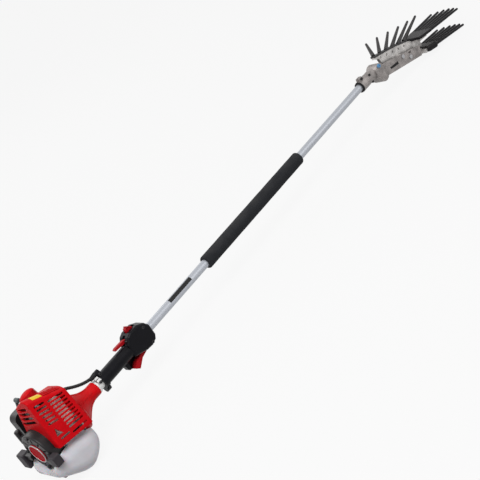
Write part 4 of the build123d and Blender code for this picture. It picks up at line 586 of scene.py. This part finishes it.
COMB_CHARCOAL = Finish(
    "comb_plastic", (0.034, 0.032, 0.033), 0.46, Grain.MOULDED, specular=0.3, relief=0.2,
    mottle=0.25, worn_lit_edge_colour=(0.14, 0.14, 0.145), edge_wear_and_highlight=0.5, painted_hollow_shade=0.3)
RUBBER = Finish(
    "black_rubber", (0.009, 0.009, 0.010), 0.58, Grain.RUBBER, specular=0.2, relief=0.3,
    mottle=0.2)
FOAM = Finish(
    "grip_foam", (0.019, 0.020, 0.023), 0.85, Grain.FOAM, relief=0.8, mottle=0.2, dust=0.05,
    specular=0.15, edge_wear_and_highlight=0.2)
FILTER = Finish("filter_foam", (0.08, 0.08, 0.07), 0.9, Grain.FOAM, relief=0.9)
BLUE_PLUG = Finish(
    "blue_plug_plastic", (0.10, 0.30, 0.56), 0.38, Grain.MOULDED, specular=0.3, relief=0.15,
    mottle=0.1)
LABEL_BLACK = Finish(
    "label_film", (0.008, 0.008, 0.009), 0.36, Grain.PAINT, relief=0.05, mottle=0.1, specular=0.2)
DECAL_YELLOW = Finish(
    "decal_film", (0.78, 0.52, 0.02), 0.36, Grain.PAINT, relief=0.05, mottle=0.06, specular=0.2,
    dust=0.03)
BRIGHT_RIM = Finish(
    "badge_rim_bright", (0.55, 0.54, 0.54), 0.30, Grain.BRUSHED, metallic=0.6, relief=0.05)
ROPE = Finish("braided_rope", (0.50, 0.48, 0.43), 0.8, Grain.BRAID, relief=0.8)
BRONZE = Finish("bush_bronze", (0.45, 0.28, 0.10), 0.4, Grain.BRUSHED, metallic=0.9)

NODE_FINISHES: Dict[str, Finish] = {
    "fuel_tank": TANK_WHITE, "tank_feet": RUBBER, "fuel_cap": BLACK_PLASTIC,
    "crankcase_front": ENGINE_CAST, "crankcase_rear": ENGINE_CAST, "ball_bearings": STEEL,
    "crankshaft": STEEL, "connecting_rod": STEEL, "piston": ENGINE_CAST, "cylinder": ENGINE_CAST,
    "spark_plug": STEEL, "plug_boot": RUBBER, "ignition_coil": BLACK_PLASTIC,
    "fan_case": RED_CAST, "flywheel": ENGINE_CAST, "clutch_shoes": DARK_STEEL,
    "clutch_drum": STEEL, "engine_cover": RED_PLASTIC, "plug_dome": RED_PLASTIC,
    "muffler": SHEET_STEEL, "insulator": BLACK_PLASTIC, "carburettor": ENGINE_CAST,
    "primer_bulb": RUBBER, "choke_lever": KNOB_GREY, "air_cleaner_base": BLACK_PLASTIC,
    "air_filter": FILTER, "air_cleaner_cover": BLACK_PLASTIC, "starter_case": BLACK_PLASTIC,
    "starter_badge": BADGE_RED, "recoil_spring": DARK_STEEL, "starter_pulley": BLACK_PLASTIC,
    "starter_rope": ROPE, "starter_handle": BLACK_PLASTIC, "guard_feet": DARK_GREY,
    "case_screws": DARK_STEEL, "tube_collar": COLLAR_ALLOY, "clamp_screws": DARK_STEEL,
    "tube": TUBE_ALLOY, "drive_shaft": STEEL, "shaft_bushes": BRONZE,
    "handle_left": HANDLE_BLACK, "handle_right": HANDLE_BLACK, "handle_pins": DARK_STEEL,
    "throttle_trigger": RED_CONTROL, "lockout_lever": RED_CONTROL, "stop_switch": RED_CONTROL,
    "throttle_conduit": RUBBER, "gear_case_left": CAST_GREY, "gear_case_right": CAST_GREY,
    "socket_seal": RUBBER, "grease_plug": BLUE_PLUG, "pivot_pins": STEEL, "pinion": STEEL,
    "cam_shaft": STEEL, "upper_arm": PLATE_ALLOY, "comb": COMB_CHARCOAL,
    "upper_hand": FINGER_BLACK, "lower_arm": PLATE_ALLOY, "lower_hand": FINGER_BLACK,
}


class Wardrobe:
    """Makes each finish once and puts it on pieces."""

    def __init__(self) -> None:
        """Starts with no materials."""
        self.made: Dict[str, bpy.types.Material] = {}

    def of(self, finish: Finish) -> bpy.types.Material:
        """The finish's material.

        Args:
            finish: the finish.

        Returns:
            The material, made on first use.
        """
        if finish.name not in self.made:
            self.made[finish.name] = finish.make()
        return self.made[finish.name]

    def dress(self, piece: bpy.types.Object, finish: Finish) -> None:
        """Puts a finish on a piece.

        Args:
            piece: a mesh object.
            finish: the finish.
        """
        piece.data.materials.clear()
        piece.data.materials.append(self.of(finish))

    def dress_nodes(self) -> None:
        """Dresses the frame's nodes, apart from the foam grip, whose sleeve stands for it."""
        for name, finish in NODE_FINISHES.items():
            self.dress(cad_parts[name], finish)
            LOG.info("dressed %s with %s", name, finish.name)


def deselect() -> None:
    """Leaves edit mode and selects nothing."""
    if bpy.context.object is not None and bpy.context.object.mode != "OBJECT":
        bpy.ops.object.mode_set(mode="OBJECT")
    bpy.ops.object.select_all(action="DESELECT")


@contextmanager
def editing() -> Iterator[None]:
    """Edit mode on the active piece, with all of it selected at the start."""
    bpy.ops.object.mode_set(mode="EDIT")
    bpy.ops.mesh.select_all(action="SELECT")
    yield
    bpy.ops.object.mode_set(mode="OBJECT")


def merge_all() -> None:
    """In edit mode, merges the doubles of the whole piece."""
    bpy.ops.mesh.select_all(action="SELECT")
    bpy.ops.mesh.remove_doubles(threshold=MERGE_DISTANCE)


def face_outwards() -> None:
    """In edit mode, turns all faces of the piece outwards."""
    bpy.ops.mesh.select_all(action="SELECT")
    bpy.ops.mesh.normals_make_consistent(inside=False)


def smooth(angle: float) -> None:
    """Shades the active piece smooth, apart from edges sharper than the angle."""
    bpy.ops.object.shade_smooth_by_angle(angle=math.radians(angle))


def new_plane(name: str, size: float = 1.0) -> bpy.types.Object:
    """Square in the floor's plane, as a start for a piece.

    Args:
        name: the piece's name.
        size: its side.

    Returns:
        The piece, active and alone in the selection.
    """
    deselect()
    bpy.ops.mesh.primitive_plane_add(size=size)
    piece = bpy.context.object
    piece.name = name
    return piece


def apply_modifier(piece: bpy.types.Object, kind: str, settings: Dict[str, Any]) -> None:
    """Adds a modifier to the active piece and applies it.

    Args:
        piece: the active piece.
        kind: the modifier's type.
        settings: its attributes.
    """
    modifier = piece.modifiers.new(kind.lower(), kind)
    for key, value in settings.items():
        setattr(modifier, key, value)
    bpy.ops.object.modifier_apply(modifier=modifier.name)


def lathe(name: str, profile: Sequence[Pair], place: Matrix, sides: int) -> bpy.types.Object:
    """Closed ring turned from a profile.

    Args:
        name: the piece's name.
        profile: (along, radius) points of the closed section.
        place: where the turning axis, local Z, goes.
        sides: faces round the axis.

    Returns:
        The piece, with its place in its mesh.
    """
    deselect()
    bpy.ops.mesh.primitive_circle_add(vertices=len(profile))
    piece = bpy.context.object
    piece.name = name
    for vertex, (along, radius) in zip(piece.data.vertices, profile):
        vertex.co = (radius, 0.0, along)
    with editing():
        bpy.ops.mesh.spin(steps=sides, angle=math.tau, center=(0, 0, 0), axis=(0, 0, 1))
        merge_all()
        face_outwards()
    piece.data.transform(place)
    smooth(SMOOTH_ANGLE)
    return piece


def along_x(x: float, z: float = AXIS_HEIGHT) -> Matrix:
    """Place of a turning axis along X, in the tube's upright plane."""
    return Matrix.Translation((x, 0.0, z)) @ Matrix.Rotation(math.pi / 2, 4, "Y")


def head_place() -> Matrix:
    """Place of the tilted head, with X along its line and Z up from it."""
    origin = Matrix.Translation((HEAD_START, 0.0, AXIS_HEIGHT))
    return origin @ Matrix.Rotation(math.radians(HEAD_BEND), 4, "Y")


def route_points(controls: Sequence[Point], resolution: int) -> List[Vector]:
    """Points of a smooth line.

    Args:
        controls: the route's control points.
        resolution: points for each control point.

    Returns:
        Points read from the route's NURBS spline.
    """
    curve = bpy.data.curves.new("route", "CURVE")
    curve.dimensions = "3D"
    curve.resolution_u = resolution
    spline = curve.splines.new("NURBS")
    spline.points.add(len(controls) - 1)
    for point, control in zip(spline.points, controls):
        point.co = (*control, 1.0)
    spline.order_u = 3
    spline.use_endpoint_u = True
    holder = bpy.data.objects.new("route", curve)
    mesh = bpy.data.meshes.new_from_object(holder)
    points = [vertex.co.copy() for vertex in mesh.vertices]
    bpy.data.meshes.remove(mesh)
    bpy.data.objects.remove(holder)
    bpy.data.curves.remove(curve)
    return points


def frames_along(points: Sequence[Vector]) -> List[Tuple[Vector, Vector, Vector]]:
    """Frames along a line, without twist.

    Args:
        points: the line's points.

    Returns:
        For each point the point, a side direction and the direction square to it.
    """
    frames = []
    end = len(points) - 1
    side = Vector((0.0, 0.0, 1.0)).cross(points[1] - points[0]).normalized()
    for index, point in enumerate(points):
        ahead = (points[min(index + 1, end)] - points[max(index - 1, 0)]).normalized()
        side = (side - ahead * side.dot(ahead)).normalized()
        frames.append((point, side, ahead.cross(side)))
    return frames


def round_offset(side: Vector, up: Vector, radius: float, turn: float) -> Vector:
    """Offset from a line's point at a turn, in radians, round the line."""
    return side * (radius * math.cos(turn)) + up * (radius * math.sin(turn))


def tube_along(name: str, points: Sequence[Vector], radii: Sequence[float], bore: float,
               sides: int) -> bpy.types.Object:
    """Tube that follows a line.

    Args:
        name: the piece's name.
        points: the line's points.
        radii: outer radius at each point.
        bore: inner radius, or 0 for a solid strand.
        sides: faces round the tube.

    Returns:
        The piece.
    """
    rings = list(zip(frames_along(points), radii))
    if bore:
        rings += [(ring, bore) for ring, _ in reversed(rings)]
    turns = [math.tau * step / sides for step in range(sides)]
    corners = [point + round_offset(side, up, radius, turn)
               for (point, side, up), radius in rings for turn in turns]
    faces = []
    last = len(rings) if bore else len(rings) - 1
    for ring in range(last):
        first, second = ring * sides, (ring + 1) % len(rings) * sides
        for step in range(sides):
            after = (step + 1) % sides
            faces.append((first + step, first + after, second + after, second + step))
    if not bore:
        faces += [tuple(reversed(range(sides))), tuple(range(last * sides, (last + 1) * sides))]
    mesh = bpy.data.meshes.new(name)
    mesh.from_pydata(corners, [], faces)
    piece = bpy.data.objects.new(name, mesh)
    bpy.context.scene.collection.objects.link(piece)
    deselect()
    bpy.context.view_layer.objects.active = piece
    piece.select_set(True)
    with editing():
        face_outwards()
    smooth(HOSE_SMOOTH_ANGLE)
    return piece


@dataclass
class ThrottleConduit:
    """Ribbed hollow conduit from the control handle to the carburettor, with its boot."""

    route: Tuple[Point, ...] = (
        (0.176, 0.0, 0.028 + AXIS_HEIGHT),
        (0.140, 0.0, 0.028 + AXIS_HEIGHT),
        (0.075, 0.056, 0.062 + AXIS_HEIGHT),
        (0.024, 0.056, 0.062 + AXIS_HEIGHT),
    )
    diameter: float = 0.009
    bore: float = 0.005
    rib: float = 0.0006
    rib_wave: Tuple[float, ...] = (0.0, 1.0, 1.0, 0.0)
    resolution: int = 60
    sides: int = 20
    boot_length: float = 0.020
    boot_radius: float = 0.0080
    boot_wall: float = 0.0012
    boot_ribs: int = 5
    boot_sides: int = 32
    first_rib: float = 0.2
    rib_pitch: float = 0.16
    groove_depth: float = 0.0007
    groove_middle: float = 0.0014
    groove_end: float = 0.0018

    def length(self, points: Sequence[Vector]) -> float:
        """Length of the line."""
        return sum((second - first).length for first, second in zip(points, points[1:]))

    def boot_profile(self) -> List[Pair]:
        """Section of the boot, which widens rib by rib towards the handle.

        Returns:
            (along, radius) points round the section.
        """
        inner = self.diameter / 2 - self.rib
        thin = self.diameter / 2 + self.boot_wall
        profile = [(0.0, inner), (0.0, thin)]
        for rib in range(self.boot_ribs):
            along = self.boot_length * (self.first_rib + self.rib_pitch * rib)
            radius = thin + (self.boot_radius - thin) * (rib + 1) / self.boot_ribs
            profile += [(along, radius), (along + self.groove_middle, radius - self.groove_depth),
                        (along + self.groove_end, radius)]
        return profile + [(self.boot_length, self.boot_radius), (self.boot_length, inner)]

    def boot(self, wardrobe: Wardrobe) -> bpy.types.Object:
        """Makes the tapered boot at the handle's flange.

        Args:
            wardrobe: the finishes.

        Returns:
            The piece.
        """
        x, _, z = self.route[0]
        place = along_x(x - self.boot_length, z)
        boot = lathe("conduit_boot", self.boot_profile(), place, self.boot_sides)
        wardrobe.dress(boot, RUBBER)
        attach(boot, "frame")
        return boot

    def build(self, wardrobe: Wardrobe) -> bpy.types.Object:
        """Makes the conduit in place of its plain solid.

        Args:
            wardrobe: the finishes.

        Returns:
            The piece.
        """
        points = route_points(self.route, self.resolution)
        valley = self.diameter / 2 - self.rib / 2
        radii = [valley + self.rib * self.rib_wave[index % len(self.rib_wave)]
                 for index in range(len(points))]
        conduit = tube_along("conduit_hose", points, radii, self.bore / 2, self.sides)
        wardrobe.dress(conduit, RUBBER)
        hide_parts("throttle_conduit")
        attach(conduit, "frame")
        self.length(points)
        self.boot(wardrobe)
        return conduit


@dataclass
class StarterRope:
    """Three-strand starter rope between the pulley and its handle."""

    diameter: float = 0.004
    strands: int = 3
    strand_share: float = 0.52
    lay: float = 0.014
    resolution: int = 50
    sides: int = 8

    def strand(self, number: int, points: Sequence[Vector]) -> bpy.types.Object:
        """Makes one strand, wound about the rope's line.

        Args:
            number: which strand.
            points: the rope's line.

        Returns:
            The strand.
        """
        radius = self.diameter / 2 * self.strand_share
        offset = self.diameter / 2 - radius
        wound = []
        run = 0.0
        frames = frames_along(points)
        for index, (point, side, up) in enumerate(frames):
            if index:
                run += (point - frames[index - 1][0]).length
            turn = math.tau * (run / self.lay + number / self.strands)
            wound.append(point + round_offset(side, up, offset, turn))
        return tube_along(f"rope_strand_{number}", wound, [radius] * len(wound), 0.0, self.sides)

    def build(self, wardrobe: Wardrobe) -> bpy.types.Object:
        """Makes the rope in place of its plain solid.

        Args:
            wardrobe: the finishes.

        Returns:
            The piece.
        """
        low, high = (Vector(corner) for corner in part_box("starter_rope"))
        middle = (low + high) / 2
        route = [(middle.x, y, middle.z) for y in (low.y, middle.y, high.y)]
        points = route_points(route, self.resolution)
        strands = [self.strand(number, points) for number in range(self.strands)]
        deselect()
        for strand in strands:
            strand.select_set(True)
        bpy.context.view_layer.objects.active = strands[0]
        bpy.ops.object.join()
        rope = bpy.context.object
        rope.name = "starter_rope_strands"
        wardrobe.dress(rope, ROPE)
        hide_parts("starter_rope")
        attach(rope, "starter_pull")
        return rope


@dataclass
class FoamGrip:
    """Long foam grip, a soft tube on the pole."""

    start: float = 0.669
    length: float = 0.514
    radius: float = 0.0215
    bore: float = 0.01305
    lip: float = 0.005
    lip_steps: int = 6
    body_steps: int = 40
    swell: float = 0.00012
    swell_phase: float = 37.0  # radians over the whole length
    slack: float = 0.0001
    sides: int = 72

    def lip_point(self, share: float) -> Pair:
        """Point on the rounded lip, as (from the end, radius).

        Args:
            share: 0 on the end face, 1 on the round body.

        Returns:
            The point.
        """
        turn = math.radians(90 * share)
        rise = self.lip * math.sin(turn)
        return self.lip * (1 - math.cos(turn)), self.radius - self.lip + rise

    def profile(self) -> List[Pair]:
        """Section of the grip: rounded lips and a slight swell.

        Returns:
            (along, radius) points round the section.
        """
        lips = [self.lip_point(step / self.lip_steps) for step in range(self.lip_steps + 1)]
        body = self.length - 2 * self.lip
        points = [(0.0, self.bore), *lips]
        for step in range(1, self.body_steps):
            share = step / self.body_steps
            wave = self.swell * math.sin(share * self.swell_phase) - self.slack
            points.append((self.lip + body * share, self.radius + wave))
        points += [(self.length - inset, radius) for inset, radius in reversed(lips)]
        return points + [(self.length, self.bore)]

    def build(self, wardrobe: Wardrobe) -> bpy.types.Object:
        """Makes the grip and puts it in place of its plain solid.

        Args:
            wardrobe: the finishes.

        Returns:
            The piece.
        """
        grip = lathe("foam_grip_sleeve", self.profile(), along_x(self.start), self.sides)
        wardrobe.dress(grip, FOAM)
        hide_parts("foam_grip")
        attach(grip, "frame")
        return grip


@dataclass
class BadgeRim:
    """Bright rim round the plain badge of the recoil starter."""

    width: float = 0.0016
    proud: float = 0.0006
    depth: float = 0.002
    overlap: float = 0.0006
    shoulder: float = 0.0002
    outer_bevel: float = 0.0004
    inner_bevel: float = 0.0006
    sides: int = 96

    def profile(self, radius: float) -> List[Pair]:
        """Section of the rim.

        Args:
            radius: the badge's radius.

        Returns:
            (along, radius) points round the section.
        """
        inner, outer = radius - self.width, radius + self.overlap
        return [(self.depth, outer), (-self.shoulder, outer),
                (-self.proud, radius - self.outer_bevel), (-self.proud, inner + self.inner_bevel),
                (-self.shoulder, inner), (self.depth, inner)]

    def build(self, wardrobe: Wardrobe) -> bpy.types.Object:
        """Makes the rim on the badge's edge.

        Args:
            wardrobe: the finishes.

        Returns:
            The piece.
        """
        low, high = (Vector(corner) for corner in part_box("starter_badge"))
        place = along_x(low.x, (low.z + high.z) / 2)
        rim = lathe("badge_rim", self.profile((high.y - low.y) / 2), place, self.sides)
        wardrobe.dress(rim, BRIGHT_RIM)
        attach(rim, "frame")
        return rim


@dataclass
class TubeLabel:
    """Blank black label, rolled round the upper right of the tube."""

    start: float = 0.490
    stop: float = 0.592
    radius: float = 0.01325
    first_turn: float = 101.0
    last_turn: float = 159.0
    steps: int = 16
    thickness: float = 0.0002

    def build(self, wardrobe: Wardrobe) -> bpy.types.Object:
        """Makes the label: a line along the tube, spun about its axis.

        Args:
            wardrobe: the finishes.

        Returns:
            The piece.
        """
        label = new_plane("tube_label")
        with editing():
            bpy.ops.mesh.delete(type="ONLY_FACE")
        turn = math.radians(self.first_turn)
        place = (self.radius * math.cos(turn), self.radius * math.sin(turn) + AXIS_HEIGHT)
        ends = (self.start, self.stop)
        for index, vertex in enumerate(label.data.vertices):
            vertex.co = (ends[index % 2], *place)
        with editing():
            merge_all()
            bpy.ops.mesh.select_all(action="SELECT")
            bpy.ops.mesh.spin(
                steps=self.steps, angle=math.radians(self.first_turn - self.last_turn),
                center=(0.0, 0.0, AXIS_HEIGHT), axis=(1, 0, 0))
            face_outwards()
        apply_modifier(label, "SOLIDIFY", {"thickness": self.thickness, "offset": 0.0})
        smooth(SMOOTH_ANGLE)
        wardrobe.dress(label, LABEL_BLACK)
        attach(label, "frame")
        return label


@dataclass
class CoverDecal:
    """Blank yellow decal on the crown of the red cover."""

    centre: Pair = (-0.0135, -0.0510)
    size: Pair = (0.026, 0.018)
    above: float = 0.30
    cuts: int = 15
    lift: float = 0.00005
    thickness: float = 0.0003
    smooth_angle: float = 40.0

    def build(self, wardrobe: Wardrobe) -> bpy.types.Object:
        """Makes the decal and lays it on the cover.

        Args:
            wardrobe: the finishes.

        Returns:
            The piece.
        """
        decal = new_plane("cover_decal")
        with editing():
            bpy.ops.mesh.subdivide(number_cuts=self.cuts)
            bpy.ops.transform.resize(value=(*self.size, 1.0))
            bpy.ops.transform.translate(value=(*self.centre, self.above))
        apply_modifier(decal, "SHRINKWRAP", {
            "target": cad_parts["engine_cover"],
            "wrap_method": "PROJECT",
            "use_project_z": True,
            "use_negative_direction": True,
            "use_positive_direction": False,
            "offset": self.lift,
        })
        apply_modifier(decal, "SOLIDIFY", {"thickness": self.thickness, "offset": 1.0})
        smooth(self.smooth_angle)
        wardrobe.dress(decal, DECAL_YELLOW)
        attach(decal, "frame")
        return decal


@dataclass
class RecessShadeSheet:
    """Dark sheet in the pocket on the right of the gear case, painting the pocket's shade."""

    corners: Tuple[Pair, ...] = (
        (0.1128, 0.0058), (0.1204, -0.0006), (0.1616, 0.0135), (0.1636, 0.0043))
    floor: float = -0.0195
    thickness: float = 0.0012
    rim: float = 0.0012
    sink: float = 0.0006

    def build(self, wardrobe: Wardrobe) -> bpy.types.Object:
        """Makes the dark sheet of painted shade, with corners in the order of a new plane's points.

        Args:
            wardrobe: the finishes.

        Returns:
            The piece.
        """
        # A black sheet stands for the shade in the pocket.
        shade_sheet = new_plane("recess_shade_sheet")
        for vertex, (u, w) in zip(shade_sheet.data.vertices, self.corners):
            vertex.co = (u, self.floor, w)
        with editing():
            bpy.ops.mesh.extrude_region_move(
                TRANSFORM_OT_translate={"value": (0.0, -self.thickness, 0.0)})
            bpy.ops.mesh.inset(thickness=self.rim, depth=-self.sink)
            face_outwards()
        shade_sheet.data.transform(head_place())
        wardrobe.dress(shade_sheet, FINGER_BLACK)
        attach(shade_sheet, "frame")
        return shade_sheet


@dataclass(frozen=True)
class Lamp:
    """One soft square lamp: where it hangs, its side and its watts."""

    name: str
    place: Point
    size: float
    power: float

    def hang(self, target: Point) -> None:
        """Adds the lamp.

        Args:
            target: what it points at.
        """
        data = bpy.data.lights.new(self.name, "AREA")
        data.size = self.size
        data.energy = self.power
        lamp = bpy.data.objects.new(self.name, data)
        bpy.context.scene.collection.objects.link(lamp)
        lamp.location = self.place
        aim = Vector(target) - Vector(self.place)
        lamp.rotation_euler = aim.to_track_quat("-Z", "Y").to_euler()


@dataclass
class Studio:
    """Pale floor, soft light and the camera at the photograph's angle; its lens is in mm."""

    camera_place: Point = (-0.938589, -2.466097, 1.313750 + AXIS_HEIGHT)
    right: Point = (0.556228, -0.667376, -0.495196)
    down: Point = (-0.640142, 0.035897, -0.767417)
    forward: Point = (0.529932, 0.743855, -0.407249)
    lens: float = 82.5
    sensor: float = 36.0
    sight: float = 100.0
    floor_size: float = 30.0
    floor_colour: Colour = (0.46, 0.46, 0.46)
    floor_roughness: float = 0.9
    floor_white: float = 0.9
    daylight: float = 0.31
    target: Point = (0.9, 0.0, 0.15)
    lamps: Tuple[Lamp, ...] = (
        Lamp("key", (-0.9, -1.6, 3.0), 1.8, 98.0),
        Lamp("fill", (2.8, -2.4, 1.8), 2.4, 16.0),
        Lamp("rim", (0.8, 2.6, 2.2), 2.4, 26.0),
    )

    def camera(self) -> None:
        """Adds the camera."""
        data = bpy.data.cameras.new("view")
        data.lens = self.lens
        data.sensor_width = self.sensor
        data.clip_end = self.sight
        camera = bpy.data.objects.new("view", data)
        bpy.context.scene.collection.objects.link(camera)
        right, up, back = Vector(self.right), -Vector(self.down), -Vector(self.forward)
        turn = Matrix((right, up, back)).transposed().to_4x4()
        camera.matrix_world = Matrix.Translation(self.camera_place) @ turn
        bpy.context.scene.camera = camera

    def floor(self) -> None:
        """Adds the floor, which shows white and keeps the object's shadow."""
        plane = new_plane("floor", self.floor_size)
        shader = Shader("pale_floor")
        shader.feed(shader.surface.inputs["Base Color"], self.floor_colour)
        shader.feed(shader.surface.inputs["Roughness"], self.floor_roughness)
        body = Socket(shader, shader.surface.outputs["BSDF"])
        light = shader.add("ShaderNodeEmission", "Emission", {}, {"Color": WHITE, "Strength": 1.0})
        share = shader.background() * self.floor_white
        inputs = {0: share, 1: body, 2: light}
        shader.show("OUTPUT_MATERIAL", shader.add("ShaderNodeMixShader", "Shader", {}, inputs))
        plane.data.materials.append(shader.material)

    def world(self) -> None:
        """Adds white surroundings, which light the object at a plain level."""
        world = bpy.data.worlds.new("studio")
        bpy.context.scene.world = world
        world.use_nodes = True
        nodes = Nodes(world.node_tree)
        levels = [{"Color": WHITE, "Strength": strength} for strength in (self.daylight, 1.0)]
        light, shown = (nodes.add("ShaderNodeBackground", "Background", {}, level)
                        for level in levels)
        inputs = {0: nodes.background(), 1: light, 2: shown}
        nodes.show("OUTPUT_WORLD", nodes.add("ShaderNodeMixShader", "Shader", {}, inputs))

    def build(self) -> None:
        """Builds the studio."""
        self.floor()
        self.world()
        for lamp in self.lamps:
            lamp.hang(self.target)
        self.camera()
        bpy.context.scene.view_settings.view_transform = "Standard"


def main() -> None:
    """Builds the scene in order."""
    logging.basicConfig(level=logging.INFO, format="%(message)s")
    wardrobe = Wardrobe()
    wardrobe.dress_nodes()
    makers = (ThrottleConduit(), StarterRope(), FoamGrip(), BadgeRim(), TubeLabel(), CoverDecal(),
              RecessShadeSheet())
    for maker in makers:
        LOG.info("built %s", maker.build(wardrobe).name)
    Studio().build()


if __name__ == "__main__":
    main()
